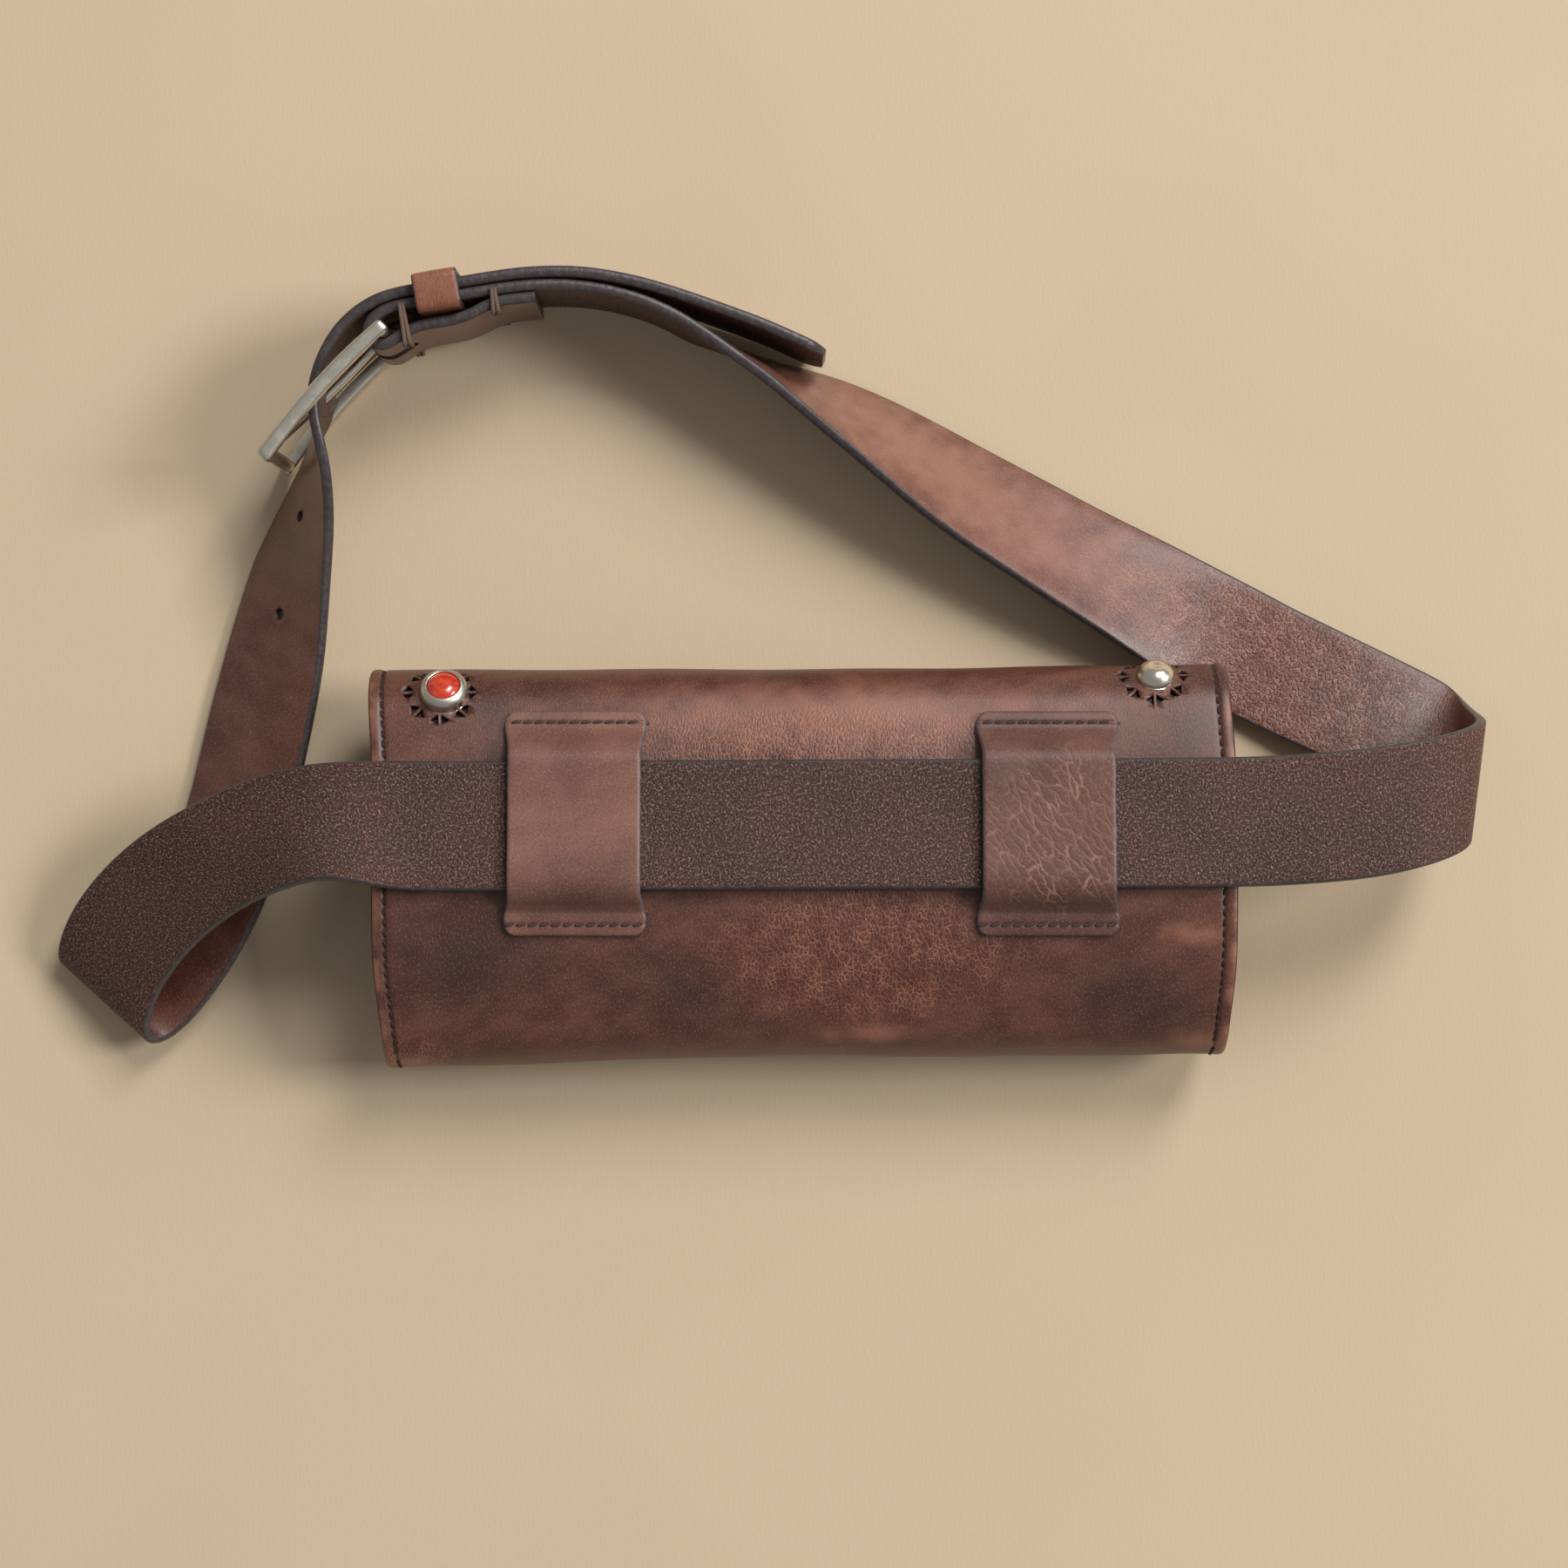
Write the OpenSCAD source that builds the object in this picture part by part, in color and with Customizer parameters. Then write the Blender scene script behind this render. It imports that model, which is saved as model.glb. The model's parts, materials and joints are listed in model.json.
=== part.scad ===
// Leather brush roll case with a belt through its two loops.
// The case lies on its front panel; the belt runs along X over the back panel.
// Y and Z span the cross-section, and the underside is at Z = 0.

/* [Case] */
// Length of the rolled case along X
case_length = 253; // [220:1:290]
// Half of the closed case's width
half_width = 59.4; // [59.4]
// Height of the closed case
case_height = 48; // [48]
// Thickness of the outer leather
wrap_t = 2.4; // [2:0.1:2.6]
// Thickness of the lining
lining_t = 0.8; // [0.6:0.1:0.8]
// Gap between two hinged segments of the leather
segment_gap = 0.3; // [0.2:0.1:0.4]

/* [Stitching] */
// Distance of the end stitching from the end of the case
end_inset = 3.9; // [3:0.1:5]
// Distance between two stitches
stitch_pitch = 3.1; // [2.6:0.1:4]
// Length of one stitch
stitch_length = 2.2; // [1.8:0.1:2.4]
// Radius of the thread
thread_r = 0.38; // [0.3:0.01:0.4]

/* [Belt loops] */
// Width of a belt loop along X
loop_width = 41; // [36:1:44]
// Centres of the two loops along X
loop_x = [-67, 71]; // [-80:1:90]
// Thickness of the loop leather
loop_t = 2; // [1.6:0.1:2]

/* [Belt] */
// Width of the strap
strap_width = 38; // [36:1:38]
// Thickness of the strap
strap_t = 3.3; // [2.8:0.1:3.4]
// Radius of the buckle's heel bar
heel_bar_r = 1.9; // [1.6:0.1:1.9]
// Radius of the buckle prong
prong_r = 1.4; // [1.2:0.1:1.5]
// Width of the keeper along the strap
keeper_width = 13.3; // [11:0.1:13.3]
// Thickness of the keeper leather
keeper_t = 1.9; // [1.6:0.1:1.9]

/* [Conchos] */
// Centres of the two conchos along X
concho_x = [-106, 103.8]; // [-112:0.1:108]
// Tilt of the two conchos away from the vertical
concho_tilt = [35, 53]; // [34:1:54]
// Diameter of the bezel that holds the stone
bezel_d = 14; // [12:0.5:14]
// Diameter of the stone
stone_d = 9.6; // [8:0.2:10]
// Diameter of the dome button
dome_d = 11.5; // [10:0.5:12]

/* [Hidden] */
WRAPS = ["wrap_front", "wrap_lower_fold", "wrap_upper_fold", "wrap_back", "wrap_lap_side",
    "wrap_lap_tip"];
LININGS = ["lining_front", "lining_lower_fold", "lining_upper_fold", "lining_back",
    "lining_lap_side", "lining_lap_tip"];
STITCHINGS = ["end_stitching_front", "end_stitching_lower_fold", "end_stitching_upper_fold",
    "end_stitching_back", "end_stitching_lap_side", "end_stitching_lap_tip"];

leather_brown = "#684336";
loop_brown = "#87635a";
lining_tan = "#9a7a5c";
thread_brown = "#3a241d";
strap_brown = "#5c3d33";
keeper_tan = "#9a6853";
lace_brown = "#7d6150";
silver = "#b4afa6";
coral = "#d84f37";
steel = "#8a8a8c";

// The closed cross-section is an oval of arcs. A point on it is named by the angle of its
// outward normal from +Z, from 0 at the crown to 180 at the underside, on the side s = +1
// or -1 of Y, and by its depth under the outer surface.
eps = 0.02;
clear = 0.4;
end_x = case_length / 2;
shoulder_r = 17;
shoulder_y = half_width - shoulder_r;
shoulder_z = case_height / 2;
crown_r = (shoulder_y * shoulder_y + shoulder_z * shoulder_z - shoulder_r * shoulder_r)
    / (2 * (shoulder_z - shoulder_r));
crown_a = asin(shoulder_y / (crown_r - shoulder_r));
rest_y = 15;
base_r = ((shoulder_y - rest_y) * (shoulder_y - rest_y) + shoulder_z * shoulder_z
    - shoulder_r * shoulder_r) / (2 * (shoulder_z - shoulder_r));
base_a = 180 - asin((shoulder_y - rest_y) / (base_r - shoulder_r));

// The lap leaves the underside at lap_a, on an arc that touches the base arc, and rises inside
// the flap.
flap_lap_gap = 3;
lap_depth = wrap_t + lining_t + flap_lap_gap;
lap_y = half_width - lap_depth;
lap_tip_r = shoulder_r - lap_depth;
lap_run = lap_y - rest_y;
lap_drop = base_r - shoulder_z;
lap_side_r = (base_r * base_r - lap_run * lap_run - lap_drop * lap_drop)
    / (2 * (base_r - lap_run));
lap_side_y = lap_y - lap_side_r;
lap_a = atan2(lap_side_y - rest_y, lap_drop);
// The lap stops short of the right end, where the belt passes under the corner of the case.
lap_x = [-end_x, 111];

function arc_centre(a) = a <= crown_a ? [0, case_height - crown_r]
    : a < base_a ? [shoulder_y, shoulder_z] : [rest_y, base_r];
function arc_radius(a) = a <= crown_a ? crown_r : a < base_a ? shoulder_r : base_r;
function oval_point(s, a, depth) = let (c = arc_centre(a), r = arc_radius(a) - depth)
    [s * (c[0] + r * sin(a)), c[1] + r * cos(a)];
function steps(a, b, n) = [for (i = [0 : n]) a + (b - a) * i / n];
function reversed(list) = [for (i = [len(list) - 1 : -1 : 0]) list[i]];
// A gap of g millimetres as an angle on a radius r.
function gap_angle(g, r) = g / 2 / r * 180 / PI;

base_gap = gap_angle(segment_gap, base_r);
shoulder_gap = gap_angle(segment_gap, shoulder_r);
crown_gap = gap_angle(segment_gap, crown_r);
lap_side_gap = gap_angle(segment_gap, lap_side_r);
flap_end_a = 88;

// Each segment's outline at one depth, from one end to the other.
function front_line(d) = concat(
    [for (a = steps(base_a + base_gap, 180, 6)) oval_point(-1, a, d)],
    [for (a = steps(180, 180 - lap_a + lap_side_gap / 2, 4)) oval_point(1, a, d)]);
function lower_fold_line(d) =
    [for (a = steps(90 + shoulder_gap, base_a - shoulder_gap, 7)) oval_point(-1, a, d)];
function upper_fold_line(d) =
    [for (a = steps(crown_a + shoulder_gap, 90 - shoulder_gap, 8)) oval_point(-1, a, d)];
function back_line(d) = concat(
    [for (a = steps(crown_a - crown_gap, 0, 6)) oval_point(-1, a, d)],
    [for (a = steps(2.5, crown_a, 6)) oval_point(1, a, d)],
    [for (a = steps(crown_a + 5, flap_end_a, 8)) oval_point(1, a, d)]);
function lap_side_line(d) = [for (a = steps(lap_a + lap_side_gap, 90 - lap_side_gap, 9))
    [lap_side_y + (lap_side_r - d) * sin(a), shoulder_z - (lap_side_r - d) * cos(a)]];
function lap_tip_line(d) = [for (a = steps(90 - shoulder_gap, 4, 9))
    [shoulder_y + (lap_tip_r - d) * sin(a), shoulder_z + (lap_tip_r - d) * cos(a)]];
function segment_line(i, d) = i == 0 ? front_line(d) : i == 1 ? lower_fold_line(d)
    : i == 2 ? upper_fold_line(d) : i == 3 ? back_line(d)
    : i == 4 ? lap_side_line(d) : lap_tip_line(d);
function segment_x(i) = i >= 4 ? lap_x : [-end_x, end_x];
// The stitching runs nearer to the lap's short end, past the closure plate.
lap_inset = 1.6;
function stitch_x(i) = [segment_x(i)[0] + end_inset,
    segment_x(i)[1] - (i >= 4 ? lap_inset : end_inset)];
groove_depth = 0.9;
groove_width = 1.3;

// Lays a drawing in the Y-Z plane and gives it its extent along X.
module along_x(from, to) {
    translate([from, 0, 0]) rotate([90, 0, 90]) linear_extrude(to - from) children();
}

module band(i, depth_a, depth_b, from, to) {
    along_x(from, to) polygon(concat(segment_line(i, depth_a),
        reversed(segment_line(i, depth_b))));
}

// Stitches on a line of points in the Y-Z plane at one x, resting on the points' surface.
module stitch_line(line, x) {
    lengths = [for (i = [0 : len(line) - 2]) norm(line[i + 1] - line[i])];
    total = sum(lengths, len(lengths) - 1);
    count = floor((total - 1) / stitch_pitch);
    for (k = [0 : count - 1]) {
        s = (k + 0.5) * total / count;
        i = segment_at(lengths, s, 0);
        run = s - (i > 0 ? sum(lengths, i - 1) : 0);
        direction = (line[i + 1] - line[i]) / lengths[i];
        p = line[i] + direction * run;
        translate([x, p[0], p[1]]) rotate([atan2(direction[1], direction[0]), 0, 0])
            rotate([90, 0, 0]) cylinder(h = stitch_length, r = thread_r, center = true, $fn = 16);
    }
}
function sum(list, last) = last < 0 ? 0 : list[last] + sum(list, last - 1);
function segment_at(lengths, s, i) = i == len(lengths) - 1 || s <= lengths[i] ? i
    : segment_at(lengths, s - lengths[i], i + 1);

module wrap_segment(i) {
    x = segment_x(i);
    color(leather_brown) difference() {
        band(i, 0, wrap_t, x[0], x[1]);
        for (at = stitch_x(i)) stitch_groove(i, at);
        if (i == 3) concho_seats();
        if (i == 5) plate_seats();
    }
}

// The thread lies in a groove, flush with the leather.
module stitch_groove(i, at) {
    band(i, -1, groove_depth, at - groove_width / 2, at + groove_width / 2);
}

module lining_segment(i) {
    x = segment_x(i);
    color(lining_tan) difference() {
        band(i, wrap_t + eps, wrap_t + lining_t, x[0] + 1, x[1] - 1);
        if (i == 3) concho_seats();
    }
}

module end_stitching(i) {
    color(thread_brown) for (at = stitch_x(i))
        stitch_line(segment_line(i, groove_depth - thread_r - 0.09), at);
}

// Places its children at a concho, with +Z out of the leather and 0 at its outer surface.
module at_concho(i) {
    p = oval_point(1, concho_tilt[i], 0);
    translate([concho_x[i], p[0], p[1]]) rotate([-concho_tilt[i], 0, 0]) children();
}

seat_depth = 1;
post_r = 1.5;
magnet_r = 5;
magnet_t = 1.3;
magnet_top = -wrap_t - 1.1;
plate_r = 4.2;
plate_t = 0.8;

module concho_seats() {
    at_concho(0) translate([0, 0, -seat_depth]) cylinder(h = 5, d = bezel_d + 0.4, $fn = 64);
    at_concho(1) translate([0, 0, -seat_depth]) cylinder(h = 5, d = dome_d + 0.4, $fn = 64);
    for (i = [0, 1]) at_concho(i) {
        translate([0, 0, -4]) cylinder(h = 5, r = post_r + eps, $fn = 32);
        translate([0, 0, magnet_top - 5]) cylinder(h = 5.1, r = magnet_r + 0.3, $fn = 48);
    }
}

module stone_bezel() {
    color(silver) at_concho(0) translate([0, 0, -seat_depth + eps]) rotate_extrude($fn = 72)
        polygon([[post_r + eps, 0], [bezel_d / 2, 0], [bezel_d / 2, 0.8], [6.2, 2], [5.6, 4.2],
            [5.2, 4.9], [4.86, 4.9], [4.86, 2.2], [post_r + eps, 2.2]]);
}

module coral_stone() {
    dome_r = 9.5;
    color(coral) at_concho(0) translate([0, 0, -seat_depth + 2.2 + 2 * eps]) intersection() {
        cylinder(h = 8, d = stone_d, $fn = 72);
        translate([0, 0, 4.3 - dome_r]) sphere(dome_r, $fn = 96);
    }
}

module dome_button() {
    r = dome_d / 2;
    ball_r = 6.1;
    color(silver) at_concho(1) translate([0, 0, -seat_depth + eps]) difference() {
        union() {
            cylinder(h = 0.9, r = r, $fn = 72);
            intersection() {
                cylinder(h = 8, r = 5.4, $fn = 72);
                translate([0, 0, 4.9 - ball_r]) sphere(ball_r, $fn = 96);
            }
        }
        translate([0, 0, -eps]) cylinder(h = 2.2, r = post_r + eps, $fn = 32);
        translate([0, 0, 7.2]) sphere(2.6, $fn = 48);
    }
}

// The post goes through the leather and carries the magnet behind it.
module concho_post(i) {
    color(steel) at_concho(i) translate([0, 0, magnet_top + eps])
        cylinder(h = -magnet_top - seat_depth + 1.8, r = post_r, $fn = 32);
}

module closure_magnets() {
    color(steel) for (i = [0, 1]) at_concho(i) translate([0, 0, magnet_top - magnet_t])
        cylinder(h = magnet_t, r = magnet_r, $fn = 48);
}

plate_top = -lap_depth + 0.15;

module plate_seats() {
    for (i = [0, 1]) at_concho(i) translate([0, 0, plate_top - plate_t])
        cylinder(h = 3, r = plate_r + 0.2, $fn = 48);
}

module closure_plates() {
    color(steel) for (i = [0, 1]) at_concho(i) translate([0, 0, plate_top - plate_t + eps])
        cylinder(h = plate_t - eps, r = plate_r, $fn = 48);
}

// The pockets lie flat on the lining and are open towards the right.
pocket_t = 1.1;
pocket_gap = 0.16;
pocket_x = [-end_x + 2, 22];
brush_pocket_y = [-44, 30];
tool_pocket_y = [-38, 34];
slot_count = 6;

function pocket_line(y, side_z, d) = [for (v = steps(y[0], y[1], 14)) side_z < 0
    ? [v, base_inner_z(v, d)] : [v, case_height - crown_r
        + sqrt((crown_r - d) * (crown_r - d) - v * v)]];
function base_inner_z(v, d) = let (u = max(0, abs(v) - rest_y))
    base_r - sqrt((base_r - d) * (base_r - d) - u * u);

module pocket(y, side_z) {
    top = wrap_t + lining_t + pocket_gap;
    along_x(pocket_x[0], pocket_x[1]) polygon(concat(pocket_line(y, side_z, top),
        reversed(pocket_line(y, side_z, top + pocket_t))));
}

module brush_pocket() { color(loop_brown) pocket(brush_pocket_y, -1); }
module tool_pocket() { color(loop_brown) pocket(tool_pocket_y, 1); }

// Rows of stitches along X that divide a pocket into slots.
module pocket_rows(y, rows, side_z) {
    depth = wrap_t + lining_t + pocket_gap + pocket_t + 0.12 + thread_r;
    count = floor((pocket_x[1] - pocket_x[0] - 6) / stitch_pitch);
    for (r = [0 : rows]) {
        v = y[0] + 2.5 + (y[1] - y[0] - 5) * r / rows;
        z = pocket_line([v, v + 1], side_z, depth)[0][1];
        for (k = [0 : count - 1])
            translate([pocket_x[0] + 4 + k * stitch_pitch, v, z]) rotate([0, 90, 0])
                cylinder(h = stitch_length, r = thread_r, $fn = 16);
    }
}

module brush_pocket_stitching() {
    color(thread_brown) pocket_rows(brush_pocket_y, slot_count, -1);
}
module tool_pocket_stitching() {
    color(thread_brown) pocket_rows(tool_pocket_y, 2, 1);
}

// The strap rests on the back panel, tilted with it.
strap_y = 13.7;
strap_tilt = asin(strap_y / crown_r);
function crown_z(y) = case_height - crown_r + sqrt(crown_r * crown_r - y * y);

// The loop's middle line: two stitched feet and a bridge over the strap.
loop_lift = loop_t / 2 + 0.05;
foot_y = [-19.2, 46.2];
loop_line = [
    [foot_y[0], crown_z(foot_y[0]) + loop_lift], [-15.5, crown_z(-15.5) + loop_lift],
    [-11.8, crown_z(-11.8) + loop_lift + 0.1], [-9.6, 50.2], [-7.6, 53], [-5, 54.4],
    [-1.5, 54.6], [13.7, 53.2], [29.5, 51.7], [33.4, 50.9], [36, 48.8], [38.4, 45.2],
    [40.6, crown_z(40.6) + loop_lift + 0.2], [43.4, crown_z(43.4) + loop_lift],
    [foot_y[1], crown_z(foot_y[1]) + loop_lift]];

function unit(v) = v / norm(v);
function line_normal(line, i) = let (
        t = unit(line[min(i + 1, len(line) - 1)] - line[max(i - 1, 0)])) [-t[1], t[0]];
function offset_line(line, d) = [for (i = [0 : len(line) - 1]) line[i] + d * line_normal(line, i)];

module belt_loop(i) {
    color(loop_brown) along_x(loop_x[i] - loop_width / 2, loop_x[i] + loop_width / 2)
        polygon(concat(offset_line(loop_line, loop_t / 2),
            reversed(offset_line(loop_line, -loop_t / 2))));
}

// One row of stitches across each foot of a loop.
module loop_stitching(i) {
    pitch = 3.4;
    count = 11;
    for (y = [foot_y[0] + 3.6, foot_y[1] - 3.4])
        color(thread_brown) translate([loop_x[i] - (count - 1) * pitch / 2, y,
            crown_z(y) + loop_t + thread_r + 0.16]) for (k = [0 : count - 1])
            translate([k * pitch - stitch_length / 2, 0, 0]) rotate([0, 90, 0])
                cylinder(h = stitch_length, r = thread_r, $fn = 16);
}

// The belt's route, from the tip of the strap through the buckle, round the left bend, over
// the case, round the right bend and back to the fold on the heel bar. Each station gives the
// strap's two edges: the edge that is uppermost in Y over the case, then the other one.
heel_bar = [-124, 157.5];
front_bar = [-156.5, 121.5];
buckle_z = 25.5;

// The stretches that stand on edge: X, Y and the height of the lower edge.
billet = [[6, 152.4, 1.2], [-3, 156.4, 1.2], [-12, 160.4, 1.4], [-23, 164.4, 1.8],
    [-34, 168.2, 2.4], [-45, 171.6, 3], [-55, 173.9, 3.4], [-66, 175.4, 4], [-77, 175.4, 4.6],
    [-86, 174.6, 5], [-94.6, 173.2, 5.6], [-107.4, 171, 6.2], [-120, 168.8, 6.5],
    [-128, 165.6, 6.5], [-135.2, 159.8, 6.5], [-140.2, 152.4, 6.5], [-143.3, 144, 6.5],
    [-144.2, 136, 6.5]];
fold_end = [[-34, 160.8, 1], [-40, 164.2, 1.2], [-48, 167.6, 2], [-59, 170.5, 2.6],
    [-70, 171.7, 3.4], [-80, 171.4, 4.4], [-88, 170.5, 5], [-94.6, 169.4, 5.6],
    [-107.4, 167.2, 6.2], [-118.4, 165.3, 6.5], [-123, 163.8, 6.5], [-126.4, 161.4, 6.5],
    [-127.9, 158.4, 6.5], [-127.5, 155.8, 6.5], [-125.9, 154, 6.5], [-123.4, 153.6, 6.5],
    [-121.2, 154.4, 6.5], [-117.8, 156.8, 6.5], [-112, 159.5, 6.5], [-104, 160.6, 6.4],
    [-98, 162.5, 6.2], [-94, 164.8, 5.8], [-90, 166.4, 5.6], [-85, 167.2, 5.4],
    [-79, 167.7, 5.2]];
function standing(list) = [for (p = list) [p[0], p[1], p[2], p[0], p[1], p[2] + strap_width]];
left_return = [
    [-148.2, 129, 6.2, -142.4, 127, 43.4], [-151.9, 120.5, 4.6, -140.6, 118, 40.6],
    [-157, 112, 2.2, -140, 107.5, 36], [-161.5, 103, 1.8, -140.5, 98, 32.4],
    [-166, 94, 1.8, -141.5, 87, 29.4], [-170, 83, 1.7, -142.5, 75, 26.4],
    [-174, 70, 1.7, -144, 61.5, 23], [-178, 56, 1.7, -146.5, 47.5, 21],
    [-181.5, 42, 1.7, -149.5, 34.5, 20], [-184.5, 29, 1.7, -152.5, 21, 20],
    [-188, 16, 1.7, -156.5, 6.5, 20], [-193, 4, 1.8, -162, -10, 18],
    [-200, -8, 1.7, -169.5, -24, 15], [-208, -18, 1.8, -179, -38, 11.5],
    [-215, -25, 1.9, -187.5, -47.5, 9]];
left_bend = [
    [-221, -29.2, 3.2, -193.4, -52, 10.2], [-224.4, -28.4, 6.6, -196.6, -52, 13.6],
    [-225, -24.4, 9.8, -197, -48.8, 18], [-222.4, -16.8, 12.6, -194.6, -41.4, 22],
    [-216.6, -7.8, 16.5, -189, -32.5, 27], [-208.2, 1.4, 21, -181.2, -24, 32.5],
    [-197.8, 9.8, 26, -172, -16.5, 38.5], [-185.4, 17, 31, -161.5, -10, 45],
    [-171, 23.2, 36, -151, -5.5, 51], [-157.5, 28, 40.6, -141.5, -2.8, 55.6],
    [-146, 30.4, 44.2, -133.5, -3, 57.2], [-135, 31.4, 46.6, -126, -4.2, 55.6],
    [-124, 31.6, 47.5, -119, -5.6, 52.8], [-114, 31.6, 47.7, -112, -6.2, 51.2]];
over_case = [[-104, 31.6, 47.7, -104, -6.2, 51.1], [-62, 31.8, 47.7, -62, -6, 51.1],
    [-20, 32, 47.7, -20, -5.8, 51.1], [22, 32.2, 47.7, 22, -5.6, 51.1],
    [64, 32.4, 47.7, 64, -5.4, 51.1], [106, 32.6, 47.7, 106, -5.2, 51.1],
    [133, 33, 47.9, 133, -4.8, 51.1]];
right_bend = [
    [150, 34.2, 48.5, 151, -3.8, 51.2], [167, 36, 48.6, 166, -2.4, 50.9],
    [181, 38.4, 46.6, 178, 0, 49], [191, 40.8, 42.6, 186.6, 2.4, 45.8],
    [198, 43, 36.4, 192.4, 4.8, 41.4], [201.8, 45, 27, 195.6, 7.8, 35],
    [201.2, 47.4, 15.6, 195, 11.4, 27.6], [199.8, 50.4, 6.6, 191.8, 16.4, 19.6],
    [196.4, 54.2, 2.4, 185, 21.2, 13.6], [187.4, 59, 1.9, 173.6, 26.2, 10.2]];
right_return = [
    [172, 66.4, 1.9, 156, 34.4, 7.4], [156, 74.4, 1.9, 140, 41.6, 5.6],
    [148, 78.6, 1.9, 131.6, 45.4, 5], [140, 83, 1.9, 123.4, 49.8, 5.6],
    [124, 91.2, 1.9, 107.6, 58.6, 10.4], [108, 99.4, 1.9, 92, 68.6, 16.6],
    [91, 107.6, 1.9, 76, 78.2, 20.4], [75, 116, 1.9, 61, 88, 23],
    [59, 124.2, 1.9, 45.4, 98, 25.4], [43, 132.6, 1.9, 31, 109, 28.6],
    [27, 140.6, 1.8, 17.4, 120.6, 32], [10.4, 147.4, 1.6, 3.2, 132.2, 35.4],
    [-4.6, 151.2, 1.4, -9.4, 143.2, 37.6], [-15.6, 154.6, 1.3, -18.8, 150, 38.6],
    [-25, 158, 1.2, -26.6, 155.8, 38.9]];
stations = concat(standing(billet), left_return, left_bend, over_case, right_bend,
    right_return, standing(fold_end));

function edge_a(p) = [p[0], p[1], p[2]];
function edge_b(p) = [p[3], p[4], p[5]];
function catmull(p, i, t) = let (n = len(p), a = p[max(i - 1, 0)], b = p[i],
        c = p[min(i + 1, n - 1)], d = p[min(i + 2, n - 1)])
    0.5 * (2 * b + (c - a) * t + (2 * a - 5 * b + 4 * c - d) * t * t
        + (3 * b - a - 3 * c + d) * t * t * t);
fine = concat([for (i = [0 : len(stations) - 2]) each [catmull(stations, i, 0),
    catmull(stations, i, 0.5)]], [stations[len(stations) - 1]]);

// Corners of the strap's section at a station: across is the width, up the thickness.
function strap_ring(i) = let (p = fine[i], before = fine[max(i - 1, 0)],
        after = fine[min(i + 1, len(fine) - 1)],
        middle = (edge_a(p) + edge_b(p)) / 2,
        across = unit(edge_b(p) - edge_a(p)) * strap_width / 2,
        along = edge_a(after) + edge_b(after) - edge_a(before) - edge_b(before),
        up = unit(cross(along, across)) * strap_t / 2)
    [middle - across - up, middle + across - up, middle + across + up, middle - across + up];

module ribbon() {
    n = len(fine);
    sides = [for (i = [0 : n - 2], k = [0 : 3]) each [
        [4 * i + k, 4 * i + (k + 1) % 4, 4 * (i + 1) + (k + 1) % 4],
        [4 * i + k, 4 * (i + 1) + (k + 1) % 4, 4 * (i + 1) + k]]];
    ends = [[0, 3, 2], [0, 2, 1], [4 * n - 4, 4 * n - 3, 4 * n - 2],
        [4 * n - 4, 4 * n - 2, 4 * n - 1]];
    polyhedron(points = [for (i = [0 : n - 1]) each strap_ring(i)], faces = concat(sides, ends));
}

// The prong leaves the heel bar and lies on the outer side of the front bar.
frame_length = norm(front_bar - heel_bar);
frame_angle = atan2(front_bar[1] - heel_bar[1], front_bar[0] - heel_bar[0]);
prong_start = -1.6;
prong_end = -4.1;

// Puts its children on the heel bar, with X towards the front bar.
module at_heel_bar(z) { translate([heel_bar[0], heel_bar[1], z]) rotate(frame_angle) children(); }

module prong_shape(grow, from, to) {
    rise = atan2(prong_end - prong_start, frame_length);
    translate([0, prong_start, 0]) rotate(rise) translate([from, 0, 0]) rotate([0, 90, 0])
        cylinder(h = to - from, r = prong_r + grow, $fn = 32);
}

module belt_strap() {
    color(strap_brown) difference() {
        ribbon();
        at_heel_bar(buckle_z) {
            prong_shape(1.1, 20, 40);
            translate([-6.5, -7.5, -3.4]) cube([14, 15, 6.8]);
        }
        for (hole = [[41, 0], [46, 2.8]]) strap_hole(hole[0], hole[1]);
    }
}

// A punched hole square through the middle of the strap, a little past the station i.
module strap_hole(i, past) {
    along = fine[i + 1] - fine[i - 1];
    ahead = unit(edge_a(along) + edge_b(along));
    up = unit(cross(ahead, edge_b(fine[i]) - edge_a(fine[i])));
    translate((edge_a(fine[i]) + edge_b(fine[i])) / 2 + past * ahead)
        rotate([0, acos(up[2]), atan2(up[1], up[0])])
            cylinder(h = 10, r = 1.8, center = true, $fn = 32);
}

// Outline of a band round the strap's layers, in the plane square to the strap.
module layer_band(inner, outer, t) {
    low = 4.2;
    high = 47.4;
    difference() {
        translate([inner - t, low - t]) square([outer - inner + 2 * t, high - low + 2 * t]);
        translate([inner, low]) square([outer - inner, high - low]);
    }
}

keeper_x = -107.4;
keeper_y = 169.1;
keeper_turn = 9.8;

// Extrudes a drawing of height against offset from the strap, along the strap.
module across_strap(x, y, turn, width) {
    translate([x, y, 0]) rotate(turn) rotate([90, 0, 90]) translate([0, 0, -width / 2])
        linear_extrude(width) children();
}

module strap_keeper() {
    color(keeper_tan) across_strap(keeper_x, keeper_y, keeper_turn, keeper_width)
        layer_band(-3.95, 3.95, keeper_t);
}

// A tie of two laces holds the fold: each goes over the edges of the two layers and down the
// inner one, at the top and at the bottom.
module fold_tie(x, y, turn, inner, outer, low) {
    lace = 1.1;
    leg = 6;
    color(lace_brown) for (s = [-0.8, 0.8]) translate([s, 0, 0])
        across_strap(x, y, turn, 1.3) for (flip = [0, 1])
            translate([0, low + strap_width / 2]) mirror([0, flip]) {
                translate([inner - lace, strap_width / 2 + clear])
                    square([outer - inner + lace, lace]);
                translate([inner - lace, strap_width / 2 - leg]) square([lace, leg + lace]);
            }
}

rail_t = 3.7;
rail_h = 4.2;
frame_h = 50.2;

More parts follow.
